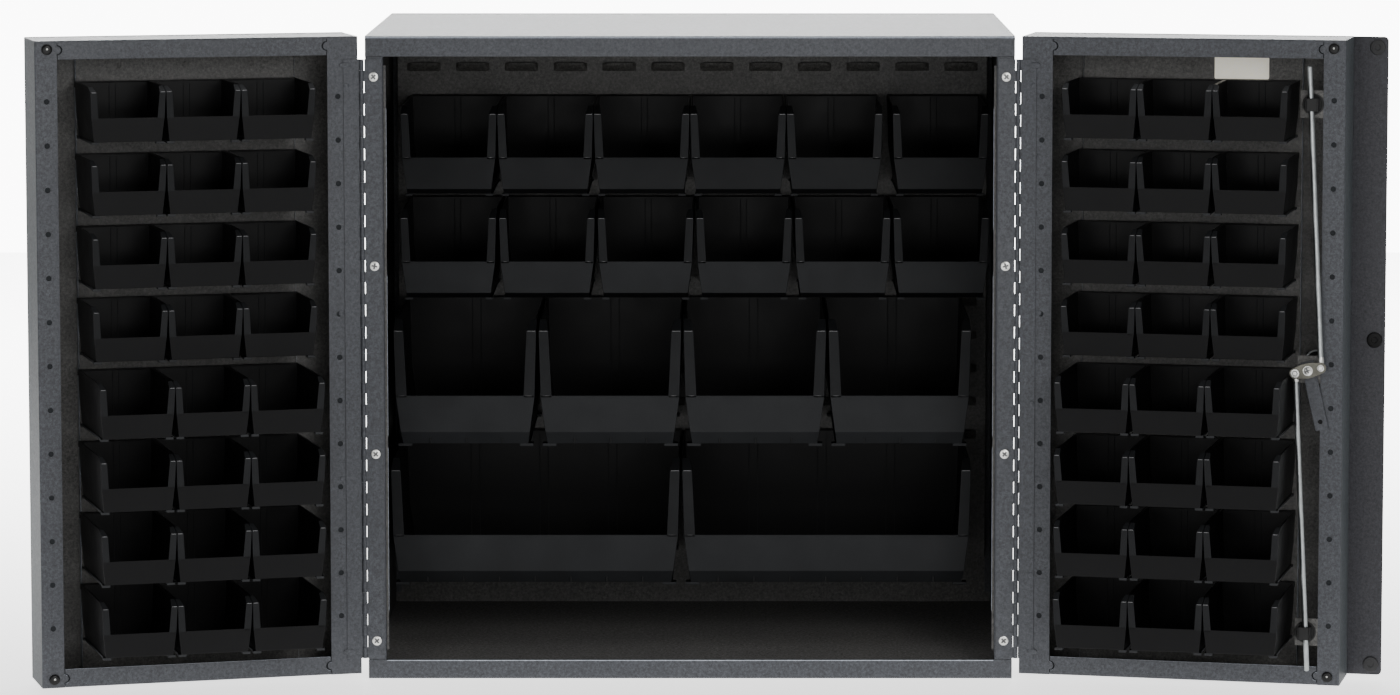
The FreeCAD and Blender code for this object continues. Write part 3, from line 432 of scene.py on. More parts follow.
def plate(loops, gauge, matrix, edge=0.25):
    """A flat sheet with holes, drawn in x, y about z = 0; the matrix takes it to its place."""
    curve = bpy.data.curves.new("plate", "CURVE")
    curve.dimensions = "2D"
    curve.fill_mode = "BOTH"
    curve.extrude = gauge / 2 - edge
    curve.bevel_depth = edge
    curve.bevel_resolution = 1
    curve.offset = -edge
    for loop in loops:
        spline = curve.splines.new("POLY")
        spline.points.add(len(loop) - 1)
        spline.use_cyclic_u = True
        for point, (x, y) in zip(spline.points, loop):
            point.co = (x, y, 0, 1)
    holder = new_object("plate", curve)
    bm = evaluated(holder)
    bpy.data.objects.remove(holder)
    bpy.data.curves.remove(curve)
    bmesh.ops.remove_doubles(bm, verts=bm.verts, dist=0.004)
    outward(bm).transform(matrix)
    return bm


def standing(y, x=0.0, z=0.0):
    """Matrix that stands a drawing in x, y upright at the given place, its upper side towards -Y."""
    return Matrix(((1, 0, 0, x), (0, 0, -1, y), (0, 1, 0, z), (0, 0, 0, 1)))


def turned(profile, matrix=Matrix(), count=32):
    """A turned piece; its profile runs in (radius, height), from below to above, and the matrix places it."""
    bm = bmesh.new()
    rings = []
    for radius, height in profile:
        if radius < 1e-6:
            rings.append([bm.verts.new((0, 0, height))])
        else:
            rings.append([bm.verts.new((x, y, height)) for x, y in circle(0, 0, radius, count)])
    for a, b in zip(rings, rings[1:]):
        for i in range(count):
            j = (i + 1) % count
            loop = [a[i % len(a)], a[j % len(a)], b[j % len(b)], b[i % len(b)]]
            unique = list(dict.fromkeys(loop))
            if len(unique) > 2:
                bm.faces.new(unique)
    outward(bm).transform(matrix)
    return bm


def out(x, y, z, spin=0.0):
    """Places a turned piece so that its axis points towards -Y, to the viewer."""
    stand = Matrix.Rotation(radians(90), 4, "X")
    return at((x, y, z)) @ stand @ Matrix.Rotation(spin, 4, "Z")


def disc(radius, low, high):
    """Profile of a plain disc."""
    return [(0, low), (radius, low), (radius, high), (0, high)]


def dome(radius, height, steps):
    """Profile of a low dome standing on z = 0."""
    turns = [radians(90 * i / steps) for i in range(1, steps)]
    rise = [(radius * cos(a), height * sin(a)) for a in turns]
    return [(0, 0), (radius, 0)] + rise + [(0, height)]


def loft(stations, edge=0.0, segments=2):
    """A closed solid through loops of as many points each, its edges rounded."""
    bm = bmesh.new()
    rings = [[bm.verts.new(p) for p in loop] for loop in stations]
    for a, b in zip(rings, rings[1:]):
        for i in range(len(a)):
            j = (i + 1) % len(a)
            bm.faces.new((a[i], a[j], b[j], b[i]))
    bm.faces.new(rings[0])
    bm.faces.new(rings[-1])
    outward(bm)
    if edge:
        soften(bm, edge, 25, segments)
    return bm


def tube(points, radius, count=20, cap=1.0):
    """A round rod along points, with chamfered ends."""
    path = [Vector(p) for p in points]
    side = (path[1] - path[0]).orthogonal().normalized()
    rings = []
    for i, p in enumerate(path):
        ahead = (path[min(i + 1, len(path) - 1)] - path[max(i - 1, 0)]).normalized()
        side = (side - ahead * side.dot(ahead)).normalized()
        up = ahead.cross(side)
        spots = [(p, radius)]
        if i == 0:
            spots = [(p, radius - cap), (p + ahead * cap, radius)]
        elif i == len(path) - 1:
            spots = [(p - ahead * cap, radius), (p, radius - cap)]
        for middle, size in spots:
            rings.append([middle + side * x + up * y for x, y in circle(0, 0, size, count)])
    return loft(rings)


def cut(bm, tools):
    """bm with the tools' shapes taken out of it."""
    holders = []
    for name, part in [("body", bm)] + [("tool", t) for t in tools]:
        mesh = bpy.data.meshes.new(name)
        part.to_mesh(mesh)
        part.free()
        holders.append(new_object(name, mesh))
    for tool in holders[1:]:
        boolean = holders[0].modifiers.new("cut", "BOOLEAN")
        boolean.operation = "DIFFERENCE"
        boolean.solver = "EXACT"
        boolean.object = tool
    result = evaluated(holders[0])
    for holder in holders:
        data = holder.data
        bpy.data.objects.remove(holder)
        bpy.data.meshes.remove(data)
    return result


# ---- louvres
def tongue():
    """A pressed louvre: it leans out and up from the sheet, and its ends run back into it."""
    width, rise, reach, gauge = 50.5, 13.0, 7.0, 1.3
    across, up = 16, 6
    bm = bmesh.new()
    sheets = []
    for lift in (0.0, gauge):
        rows = []
        for v in range(up + 1):
            t = v / up
            row = []
            for u in range(across + 1):
                s = 2 * u / across - 1
                s = copysign(abs(s) ** 0.6, s)
                lean = reach * (1 - abs(s) ** 7) * (1 - (1 - t) ** 1.5) + 0.05
                drop = 1.6 * abs(s) ** 6 * t
                y = min(lift - lean, gauge * 0.9)
                row.append(bm.verts.new((s * width / 2, y, -rise + rise * t - drop)))
            rows.append(row)
        sheets.append(rows)
    for k, rows in enumerate(sheets):
        for a, b in zip(rows, rows[1:]):
            for i in range(across):
                loop = (a[i], a[i + 1], b[i + 1], b[i])
                bm.faces.new(loop if k == 0 else loop[::-1])
    first, second = sheets
    border = [(0, i) for i in range(across)] + [(v, across) for v in range(up)]
    border += [(up, i) for i in range(across, 0, -1)] + [(v, 0) for v in range(up, 0, -1)]
    for (v, u), (v2, u2) in zip(border, border[1:] + border[:1]):
        bm.faces.new((first[v][u], second[v][u], second[v2][u2], first[v2][u2]))
    return outward(bm)


def louvred(x0, x1, z0, z1, face, columns, rows):
    """A flat sheet pierced behind each louvre, with the louvres' middles at columns and tips at rows."""
    spots = [(x, z) for x in columns for z in rows]
    holes = [rounded(x - 23.6, x + 23.6, z - 11.6, z + 0.4, 2.0, 2) for x, z in spots]
    bm = plate([rectangle(x0, x1, z0, z1)] + holes, THIN, standing(face + THIN / 2), 0.15)
    one = tongue()
    for x, z in spots:
        merge(bm, one, at((x, face, z)))
    one.free()
    return bm


# ---- screws
def cross_screw(radius, height):
    """Pan head with a cross recess, standing on z = 0."""
    size, width = radius * 0.62, radius * 0.19
    arms = [block((-a, -b, height * 0.4), (a, b, height * 1.5)) for a, b in ((size, width), (width, size))]
    bm = cut(turned(dome(radius, height, 7)), arms)
    # the recess faces take the second coat, a painted shade
    for face in bm.faces:
        short, long = sorted(abs(c) for c in face.calc_center_median().xy)
        face.material_index = int(short < width + 0.01 and long < size + 0.01)
    return bm


# ---- cabinet shell
def rim(x0, y0, x1, y1):
    """A thin painted rim along a top edge."""
    return tube([(x0, y0, TOP - 0.2), (x1, y1, TOP - 0.2)], RIM, 8, 0.2)


def shell():
    half = GAUGE / 2
    inner = SIDE - GAUGE
    top = folded([(FRONT + half, TOP - RAIL), (FRONT + half, TOP - half), (BACK, TOP - half)],
                 GAUGE, 3.4, -SIDE, SIDE, ACROSS)
    # the underside wears the painted fill copy, the front edge a painted highlight and the top face the
    # painted sheen copy
    inside(top, lambda spot, way: way.z < -0.5 and spot.y > FRONT + 3)
    inside(top, lambda spot, way: spot.y < FRONT + 4 and way.y < -0.2 and way.z > 0.35, 2)
    inside(top, lambda spot, way: way.z > 0.8 and spot.y > FRONT + 3, 3)
    dress("top_sheet", top, (GREY, INNER_FILL_COAT, PAINTED_LIGHT, TOP_SHEEN_COAT), "cabinet", edge=0.35,
          replaced="top_panel")
    rims = [rim(x, FRONT + 4, x, BACK - 1) for x in (RIM - SIDE, SIDE - RIM)]
    rims.append(rim(1 - SIDE, BACK - RIM, SIDE - 1, BACK - RIM))
    dress("top_rims", collect(rims), GREY, "cabinet")

    # floor: front rail, bead on its lip, sheet and the stiffener under it
    lip = [(FRONT + half, 27), (FRONT + half, half), (FRONT + 20, half)]
    base = folded(lip, GAUGE, 2.2, -SIDE, SIDE, ACROSS)
    add(base, folded([(FRONT + 1.3, 25.4), (FRONT + 1.3, 27.1)], 2.8, 0.2, 26 - SIDE, SIDE - 26, ACROSS))
    add(base, folded([(FRONT + GAUGE, 11.75), (BACK - GAUGE, 11.75)], GAUGE, 1, -inner, inner, ACROSS))
    add(base, folded([(-29, 10.8), (-29, half), (29, half), (29, 10.8)], GAUGE, 1.5, -inner, inner, ACROSS))
    # the floor's upper face wears the painted fill copy, the bead on the lip a painted highlight
    inside(base, lambda spot, way: way.z > 0.5 and spot.y > FRONT + 12)
    inside(base, lambda spot, way: spot.y < FRONT + 3 and spot.z > 25.4 and abs(spot.x) < SIDE - 25, 2)
    dress("floor_sheet", base, (GREY, FLOOR_FILL_COAT, PAINTED_LIGHT), "cabinet", edge=0.3,
          replaced="bottom_panel")

    for side, sign in (("left", -1), ("right", 1)):
        mirror = Matrix.Diagonal((sign, 1, 1, 1))
        stile, back = SIDE - STILE, BACK - 2 * GAUGE + half
        line = [(stile + half, FRONT + 12), (stile + half, FRONT + half), (SIDE - half, FRONT + half)]
        bm = folded(line + [(SIDE - half, back), (SIDE - 10, back)], GAUGE, 2.2, 27.6, TOP - 29.3)
        # the side beside the top rail and the bottom rail, just behind its own face
        plane = SIDE - half - 0.05
        for low, high in ((0, 28.6), (TOP - 30.3, TOP - GAUGE)):
            add(bm, folded([(plane, FRONT + GAUGE), (plane, BACK - GAUGE)], GAUGE, 1, low, high))
        # the inner faces wear the painted fill copy of the paint
        inside(bm, lambda spot, way: way.x < -0.5 and spot.y > FRONT + 14)
        # the strip set back beside the stile, with bright stretches along its edge that are painted
        # highlights
        add(bm, block((stile - 3.2, FRONT + 11, 40), (stile + 1.4, FRONT + 12.2, TOP - 42)))
        for low, high in ((96, 330), (346, 575), (640, 812)):
            add(bm, block((stile - 3.8, FRONT + 10.6, low), (stile - 2.8, FRONT + 11.6, high)))
        # the set-back strip wears the painted fill copy, its bright stretches the painted highlight coat
        inside(bm, lambda spot, way: spot.x < stile - 0.2 and spot.y < FRONT + 13)
        inside(bm, lambda spot, way: spot.x < stile - 2.75 and spot.y < FRONT + 13 and way.y < 0.5, 2)
        dress(side + "_side_sheet", bm, (GREY, INNER_FILL_COAT, PAINTED_LIGHT), "cabinet", mirror, 0.3,
              replaced=side + "_side_panel")
        weld = [(SIDE - 26.5 + 1.2 * i, FRONT - 0.1, TOP - 29.2 + 0.15 * sin(2.4 * i)) for i in range(6)]
        dress(side + "_corner_weld", tube(weld, 0.6, 10, 0.3), GREY, "cabinet", mirror)

    back = from_node("back_panel")
    # the face towards the front wears the painted fill copy
    inside(back, lambda spot, way: way.y < -0.5)
    dress("back_sheet", back, (GREY, INNER_FILL_COAT), "cabinet", edge=0.5, replaced="back_panel")
    columns = [LOUVRE_PITCH * (i - 5.5) for i in range(12)]
    rows = [HEIGHT - 70.4 - 50.8 * i for i in range(12)]
    bm = louvred(-444, 444, 91, HEIGHT - GAUGE - 6.5, PANEL, columns, rows)
    for sign in (-1, 1):
        leg = [(sign * 443.6, PANEL + 0.6), (sign * 444.4, PANEL + 0.8), (sign * 444.4, BACK - GAUGE)]
        add(bm, folded(leg, THIN, 1.0, 90, HEIGHT - 7.9))
    dress("louvred_back", bm, INNER_FILL_COAT, "cabinet", replaced="louvre_panel")


# ---- doors
def half_round(x, z, radius, bulge, rise):
    """A half-round bump on an upright edge, towards x by its bulge and along z by its rise."""
    points = arc(0, 0, radius, [-90 + 180 * i / 8 for i in range(9)])
    return [(x + bulge * u, z + rise * v) for u, v in points]


def door_shell(side):
    body = side + "_door"
    half = GAUGE / 2
    middle = FLANGE + half
    face = standing(middle)
    line = [(EDGE + 8, middle), (EDGE + half, middle), (EDGE + half, SKIN - half)]
    line += [(FREE - half, SKIN - half), (FREE - half, middle), (FREE - 8, middle)]
    pieces = [folded(line, GAUGE, 1.1, LOW, TOP)]
    # flanges with their holes; each ends in a half-round tab that covers the rail
    low_tab, top_tab = LOW + 13, TOP - 13
    hole_lines = (HINGE_FLANGE - 15, FREE_FLANGE + 15)
    heights = [(HEIGHT + LOW) / 2 + HOLE_PITCH * (i - (HOLES - 1) / 2) for i in range(HOLES)]
    hinge_side = [(EDGE + 7.9, LOW), (HINGE_FLANGE, LOW)]
    free_side = [(FREE_FLANGE, LOW), (FREE - 7.9, LOW), (FREE - 7.9, TOP), (FREE_FLANGE, TOP)]
    for z in (low_tab, top_tab):
        hinge_side += half_round(HINGE_FLANGE, z, TAB, 1, 1)
    hinge_side += [(HINGE_FLANGE, TOP), (EDGE + 7.9, TOP)]
    for z in (top_tab, low_tab):
        free_side += half_round(FREE_FLANGE, z, TAB, -1, -1)
    for outline, x in zip((hinge_side, free_side), hole_lines):
        pieces.append(plate([outline] + [circle(x, z, 3.9) for z in heights], GAUGE, face))
    if side == "right":
        for z in (LATCH_Z + GUIDE_RISE, LATCH_Z, LATCH_Z - GUIDE_RISE):
            tab = rectangle(FREE_FLANGE - 32, FREE_FLANGE, z - 19.25, z + 19.25)
            # the tabs wear the painted fill copy of the paint
            pieces.append(paint(plate([tab], GAUGE - 0.1, face), 1))
    # rails above and below, and dark plates of painted shadow behind the holes and seams
    dark = [turned(disc(4.4, 0, 0.6), out(x, FLANGE + 1.4, z), 16) for x in hole_lines for z in heights]
    x0, x1 = HINGE_FLANGE + SEAM, FREE_FLANGE - SEAM
    for end, inward, tab_z in ((TOP, -1, top_tab), (LOW, 1, low_tab)):
        z = end + inward * half
        rail = [(middle, end + inward * 3.2), (middle, z), (SKIN - GAUGE, z)]
        pieces.append(folded(rail, GAUGE - 0.04, 2.0, EDGE + GAUGE, FREE - GAUGE, ACROSS))
        low, high = sorted((end + inward * 26, end + inward * 3.2))
        loop = [(x0, low), (x1, low)] + half_round(x1, tab_z, TAB + SEAM, -1, 1)
        loop += [(x1, high), (x0, high)] + half_round(x0, tab_z, TAB + SEAM, 1, -1)
        pieces.append(plate([loop], GAUGE, standing(middle + 0.1)))
        behind = rectangle(EDGE + 10, FREE - 10, low + 1, high)
        dark.append(plate([behind], 0.8, standing(FLANGE + GAUGE + 0.7)))
    dress(side + "_door_shadow_plates", collect(dark), SHADOW_COAT, body, door(side))
    bm = collect(pieces)
    heart = Vector(((EDGE + FREE) / 2, 0, TOP / 2))
    # the inside faces wear the painted fill copy, the lower rail's top a painted highlight, the top faces the
    # painted sheen copy and the free side's outer face the painted shade copy
    inside(bm, lambda spot, way: (FLANGE + 3 < spot.y < SKIN - 0.3 and way.y < 0.5
                                  and way.dot(heart - spot) > 0))
    inside(bm, lambda spot, way: spot.y < FLANGE + 2.5 and way.z > 0.25 and spot.z < LOW + 27, 2)
    inside(bm, lambda spot, way: spot.z > TOP - 1 and way.z > 0.8, 3)
    inside(bm, lambda spot, way: spot.x > FREE - 1 and way.x > 0.8, 4)
    dress(side + "_door_sheet", bm, (GREY, INNER_FILL_COAT, PAINTED_LIGHT, TOP_SHEEN_COAT, RETURN_SHADE_COAT), body,
          door(side), replaced=side + "_door_pan")
    dress(side + "_door_rim", rim(EDGE + 1, SKIN - RIM, FREE - 1, SKIN - RIM), GREY, body,
          door(side))

    # weld marks: crescents at the flange corners, beads and plugs along the hinge
    marks = []
    bead = [(0, -0.8), (4.3, -0.8), (4.2, 0), (3.4, 0.4), (2.2, 0.6), (0.9, 0.5), (0, 0.4)]
    for x, z, length in ((18, 874, 2.0), (17, 845, 1), (25.6, 744, 1), (17, 622, 0.8), (25.6, 524, 1),
                         (17, 396, 0.8), (25.6, 288, 1), (17, 150, 1), (18, 40, 2.0)):
        y = FLANGE if x > 24 else FLANGE - 1.5
        size = Matrix.Diagonal((length, 1, min(length, 1), 1))
        marks.append(turned(bead, at((EDGE + x, y, z)) @ size @ out(0, 0, 0), 24))
    dress(side + "_door_welds", collect(marks), GREY, body, door(side))

    # louvred sheet inside the door
    start = EDGE + 74.0
    end = start + 312.0
    centre = (start + end) / 2
    columns = [centre + LOUVRE_PITCH * (i - 1.5) for i in range(4)]
    rows = [DOOR_ROW - 2.8 - DOOR_ROW_PITCH * i for i in range(8)]
    low, high = LOW + GAUGE + 4, TOP - GAUGE - 4
    bm = louvred(start + THIN, end - THIN, low, high, DOOR_PANEL, columns, rows)
    foot = SKIN - GAUGE - THIN / 2
    near = DOOR_PANEL + THIN / 2
    for x, sign in ((start, 1), (end, -1)):
        leg = [(x + sign * 12, foot), (x + sign * 0.6, foot), (x + sign * 0.6, near), (x + sign * 2.2, near)]
        piece = folded(leg, THIN, 1.2, low, high)
        # painted light: the legs' sides wear the pale coat to lighten their shade
        inside(piece, lambda spot, way: abs(way.x) > 0.6)
        add(bm, piece)
    for x in (start + 62, centre, end - 62):
        ring = [(0, 0.15), (2.2, 0.12), (2.7, 0.5), (3.3, 0.5), (3.9, 0.0)]
        add(bm, turned(ring, out(x, DOOR_PANEL, 874), 20))
    dress(side + "_door_louvres", bm, (INNER_FILL_COAT, PAINTED_LIGHT), body, door(side),
          replaced=side + "_door_louvre_panel")


def hinges(side):
    low, high = HINGE_LOW, HINGE_HIGH
    count = int((high - low) / KNUCKLE_PITCH * 2)
    length = (high - low) / count
    radius, bore, thick = 3.3, 1.9, 1.5
    sign = -1 if side == "left" else 1
    at_pin = at((sign * PIN_X, PIN_Y, 0))
    leaves = (
        ("cabinet", "_hinge_cabinet_leaf", at_pin @ Matrix.Diagonal((sign, 1, 1, 1)), -4.0, -27.6,
         FRONT - thick / 2 - PIN_Y),
        (side + "_door", "_hinge_door_leaf", door(side), 3.7, 25.6, FLANGE - thick / 2),
    )
    for which, (body, leaf, matrix, near, far, y) in enumerate(leaves):
        inward = copysign(1, far)
        pieces = [folded([(near, y), (far, y)], thick, 1, low, high)]
        for i in range(which, count, 2):
            z0, z1 = low + i * length + 0.1, low + (i + 1) * length - 0.1
            pieces.append(folded([(inward * 4.7, y), (inward * 1.6, y - 0.3)], thick, 1, z0, z1))
            barrel = [(bore, z0), (radius - 0.3, z0), (radius, z0 + 0.3), (radius, z1 - 0.3),
                      (radius - 0.3, z1), (bore, z1), (bore, z0)]
            pieces.append(turned(barrel, count=20))
        dress(side + leaf + "_dress", collect(pieces), GREY, body, matrix, replaced=side + leaf)
    if side == "left":
        # closes the gaps between the knuckles to the view, as in the picture
        # painted shadow: a dark strip behind the knuckles
        shadow = block((1.8, 4.2, low), (EDGE + 0.1, 5.2, high))
        dress("left_hinge_shadow_strip", shadow, SHADOW_COAT, "left_door", door(side), 0.2)
    pin = [(0, low), (1.5, low), (1.8, low + 0.4), (1.8, high - 0.4), (1.5, high), (0, high)]
    dress(side + "_pin_dress", turned(pin, at_pin, 16), ZINC, side + "_door",
          replaced=side + "_hinge_pin")


def fasteners():
    screw = cross_screw(6.7, 1.0)
    bm = bmesh.new()
    inset = 24.8
    for sign in (-1, 1):
        for i in range(4):
            z = HINGE_LOW + inset + i * (HINGE_HIGH - HINGE_LOW - 2 * inset) / 3
            merge(bm, screw, out(sign * (SIDE - 12), FRONT - 1.5, z, rng.uniform(0, 1.5)))
    screw.free()
    dress("leaf_screws", bm, (ZINC, RECESS_SHADE), "cabinet", replaced="hinge_screws")
    bumper = [(0, 0), (7.5, 0), (7.5, 1.4), (7.1, 2.3), (6.1, 3.1), (4.4, 3.5), (2.0, 3.6), (0, 3.6)]
    for side in ("left", "right"):
        bm, small = bmesh.new(), bmesh.new()
        for z in (TOP - 12, LOW + 12):
            add(bm, turned(bumper, out(FREE - 17, FLANGE, z), 32))
            add(small, cross_screw(1.5, 0.5), out(FREE - 17, FLANGE - 3.4, z + 0.8, rng.uniform(0, 1.5)))
        dress(side + "_bumper_dress", bm, RUBBER, side + "_door", door(side),
              replaced=side + "_door_bumpers")
        dress(side + "_bumper_screws", small, ZINC, side + "_door", door(side))


def strip():
    start, end = FREE + 7.2, FREE + 48
    near, y = SKIN + GAUGE / 2, SKIN + 3.2 + GAUGE / 2
    outline = rounded(start, end, LOW, TOP, 6.0)[:10] + [(start, TOP), (start, LOW)]
    flat = plate([outline], GAUGE, standing(y))
    joggle = [(FREE - 20, near), (FREE - 10, near), (FREE - 5, y), (start + 0.05, y)]
    add(flat, folded(joggle, GAUGE, 2.0, LOW, TOP))
    # painted shade: the faces that don't look outwards wear the darker copy of the paint
    inside(flat, lambda spot, way: way.y < 0.5)
    dress("strip_dress", flat, (GREY, STRIP_SHADE_COAT), "right_door", door("right"),
          replaced="overlap_strip")
    bm = bmesh.new()
    pad = [(0, 0), (11, 0), (11, 1.7), (10.2, 2.6), (8.6, 2.9), (4.4, 2.9), (3.8, 2.3), (0, 2.3)]
    for z, coat in ((TOP - 15, 0), (STRIP_PAD_Z, 1), (LOW + 15, 0)):
        add(bm, paint(turned(pad, out(FREE + 33, SKIN + 3.2, z), 36), coat))
    dress("strip_pads", bm, (PAD, BLACK), "right_door", door("right"), replaced="overlap_pads")


# ---- latch
def latch():
    place = door("right")
    tilt = radians(13)
    rod_radius, cam_gauge = 3.9, 3.0
    rod_y = FLANGE - 11.0
    cam_back = rod_y - rod_radius - 0.3
    cam_front = cam_back - cam_gauge
    turn = at((LATCH_X, 0, LATCH_Z)) @ Matrix.Rotation(-tilt, 4, "Y")
    loop = []
    for flip in (1, -1):
        end = arc(18.4, 0, 7.7, range(-76, 93, 14))
        end += [(11, 9.3), (6.5, 10.3), (1.5, 10.8), (-3.5, 10.7), (-7.5, 10.1)]
        loop += [(flip * x, flip * z) for x, z in end]
    cam = plate([loop], cam_gauge, turn @ standing(cam_back - cam_gauge / 2), 0.5)
    dress("cam_dress", cam, BRASSY, "latch", place, replaced="latch_cam")
    bm = bmesh.new()
    add(bm, cross_screw(5.9, 2.4), out(LATCH_X, cam_front, LATCH_Z, 0.45))
    washer = [(2.5, 0), (6.9, 0), (7.0, 0.3), (6.6, 0.6), (2.5, 0.6)]
    add(bm, turned(washer, out(LATCH_X, cam_front, LATCH_Z), 28))
    dress("cam_screw_dress", bm, (ZINC, RECESS_SHADE), "latch", place, replaced="cam_screw")
    hole_z = -74.8
    bar = plate([rounded(-9.2, 9.2, -86.5, 12, 1.0, 3), circle(0, hole_z, 3.2)], 3.0,
                turn @ standing(FLANGE - 3.0), 0.3)
    # painted shade: a black disc fills the arm's hole
    hole_shade = paint(turned(disc(3.4, 0, 1.2), turn @ out(0, FLANGE - 1.6, hole_z), 20), 1)
    dress("arm_dress", collect([bar, hole_shade]), (GREY, BLACK), "latch", place,
          replaced="latch_arm")
    spindle = block((-4, cam_front, -4), (4, SKIN + 14, 4))
    spindle.transform(turn)
    dress("spindle_dress", spindle, ZINC, "latch", place, 0.5, replaced="latch_spindle")

    # rods, each turned through the cam
    arm, length = 18.3, 420.8
    reach, rise = arm * cos(tilt), arm * sin(tilt)
    lean = atan(reach / (GUIDE_RISE - rise))
    ball = [(0, -4.6), (2.6, -4.0), (4.6, -2.3), (5.2, 0), (4.6, 2.3), (2.6, 4.0), (0, 4.6)]
    neck = [(0, -4.5), (3.0, -4.2), (4.4, -2.5), (4.7, 0), (4.5, 4.0), (3.9, 8.0)]
    pin = [(0, 0), (3.0, 0), (3.2, 1.3), (2.6, 2.0), (0, 2.1)]
    for name, sign, wide, joint, up in (("upper_rod", 1, 5.0, neck, 7), ("lower_rod", -1, 6.3, ball, 9.5)):
        x, z = LATCH_X + sign * reach, LATCH_Z + sign * rise
        knee = Vector((x, rod_y, z))
        far = Vector((x - sign * length * sin(lean), rod_y, z + sign * length * cos(lean)))
        along = (far - knee).normalized()
        bend = [knee + Vector((0, y, 0)) + along * step
                for y, step in ((-9.4, 0), (-6.0, 0), (-3.0, 0.6), (-0.8, 2.4), (0, 5.5), (0, 60))]
        rod = tube(bend + [far], rod_radius, 24, 1.2)
        clip = [(3.2, 0), (wide - 0.4, 0), (wide, 0.5), (wide - 0.7, 1.3), (wide - 1.6, 1.4),
                (wide - 1.7, 0.5), (3.2, 0.5)]
        bright = [turned(clip, out(x, cam_front - 0.2, z), 28), turned(pin, out(x, cam_front - 0.2, z), 24),
                  turned(joint, at(knee + along * up), 24)]
        dress(name + "_dress", collect([rod] + [paint(bm, 1) for bm in bright]), (ROD, ZINC), name,
              place, replaced=name)

    # guides: a disc against the tab, a block with a slot for the rod, a neck through the tab and a nut
    pieces = []
    face = FLANGE - 0.3
    y0, y1 = face - 18.2, face - 2.0
    flat = [(0, 0), (15, 0), (15, 1.4), (14.4, 2.0), (12.6, 2.0), (12.2, 1.5), (9.5, 1.5), (9.2, 2.0),
            (0, 2.0)]
    for sign in (1, -1):
        x, z = LATCH_X + sign * 1.6, LATCH_Z + sign * GUIDE_RISE
        pieces.append(turned(flat, out(x, face, z), 36))
        for a in (x - 9, x + 6.3):
            pieces.append(block((a, y0, z - 9), (a + 2.7, y1, z + 9)))
        for a, b in ((y1 - 2.5, y1), (y0, rod_y - 4.2)):
            pieces.append(block((x - 8.6, a, z - 8.9), (x + 8.6, b, z + 8.9)))
        nut = [(0, 0), (13, 0), (13, 2.2), (12, 3.0), (0, 3.0)]
        pieces += [turned(disc(9, -3.6, 0), out(x, face, z), 28), turned(nut, out(x, FLANGE + 6.6, z), 6)]
    dress("guide_dress", collect(pieces), GUIDE, "right_door", place, 0.7,
          replaced="rod_guides")

    # plate outside, sleeve through the skin, nut inside painted black as painted shade, with a painted
    # highlight along an arc
    disc_out = [(6.3, -5), (22.5, -5), (24, -3.6), (24, 0), (6.3, 0), (6.3, -5)]
    sleeve = [(6.3, 0), (11, 0), (11, 16), (10.2, 16.8), (6.3, 16.8), (6.3, 0)]
    nut = [(10.5, 0), (19.0, 0), (20, 1), (20, 5), (19, 6), (10.5, 6), (10.5, 0)]
    glint = [(x, SKIN - GAUGE - 6.3, z) for x, z in arc(LATCH_X, LATCH_Z, 16.4, range(70, 151, 10))]
    skin = out(LATCH_X, SKIN, LATCH_Z)
    pieces = [turned(disc_out, skin, 48), turned(sleeve, skin, 36),
              paint(turned(nut, out(LATCH_X, SKIN - GAUGE, LATCH_Z, 0.3), 6), 1),
              paint(tube(glint, 1.3, 10, 0.4), 2)]
    dress("escutcheon_dress", collect(pieces), (CHROME, BLACK, GLINT_METAL), "right_door",
          place, replaced="handle_escutcheon")
    base = SKIN + 5.3
    away = at((LATCH_X, base, LATCH_Z)) @ Matrix.Rotation(radians(-90), 4, "X")
    hub = [(0, 0), (13.0, 0), (14, 1.2), (14, 19.5), (12.8, 21.4), (10, 22), (0, 22)]
    hub = turned(hub, away, 40)
    shape = arc(-106, 0, 6, [90 + 180 * i / 24 for i in range(25)])
    shape += [(-60, -7.2), (-20, -9), (0, -9.4), (8, -6), (8, 6), (0, 9.4), (-20, 9), (-60, 7.2)]
    lever = plate([shape], 9.0, standing(base + 17.5, LATCH_X, LATCH_Z), 2.2)
    dress("handle_dress", collect([hub, lever]), CHROME, "latch", place,
          replaced="door_handle")


# ---- bins
# width, height, length, height of the front wall, taper below it, width of the wings, rise and run
# of their slope, depth and height of the toe, how far the sides lean in above the front wall
KINDS = {
    "short": (104.8, 76.2, 136.5, 33.5, 5, 10, 7, 24, 7.5, 69, 1.3),
    "long": (104.8, 76.2, 187.3, 33.5, 5, 10, 7, 24, 7.5, 69, 1.3),
    "middle": (139.7, 127, 276.2, 54, 9, 12.5, 10, 40, 10, 8, 1.6),
    "large": (206, 177.8, 374.7, 72, 12, 16, 12, 50, 18, 19, 2.4),
    "wide": (418, 177.8, 374.7, 72, 12, 16, 12, 50, 18, 19, 2.4),
}
WALL = 2.4


def level(x0, x1, y0, y1, z):
    """A rectangular station of a loft at height z."""
    return [(x, y, z) for x, y in rectangle(x0, x1, y0, y1)]


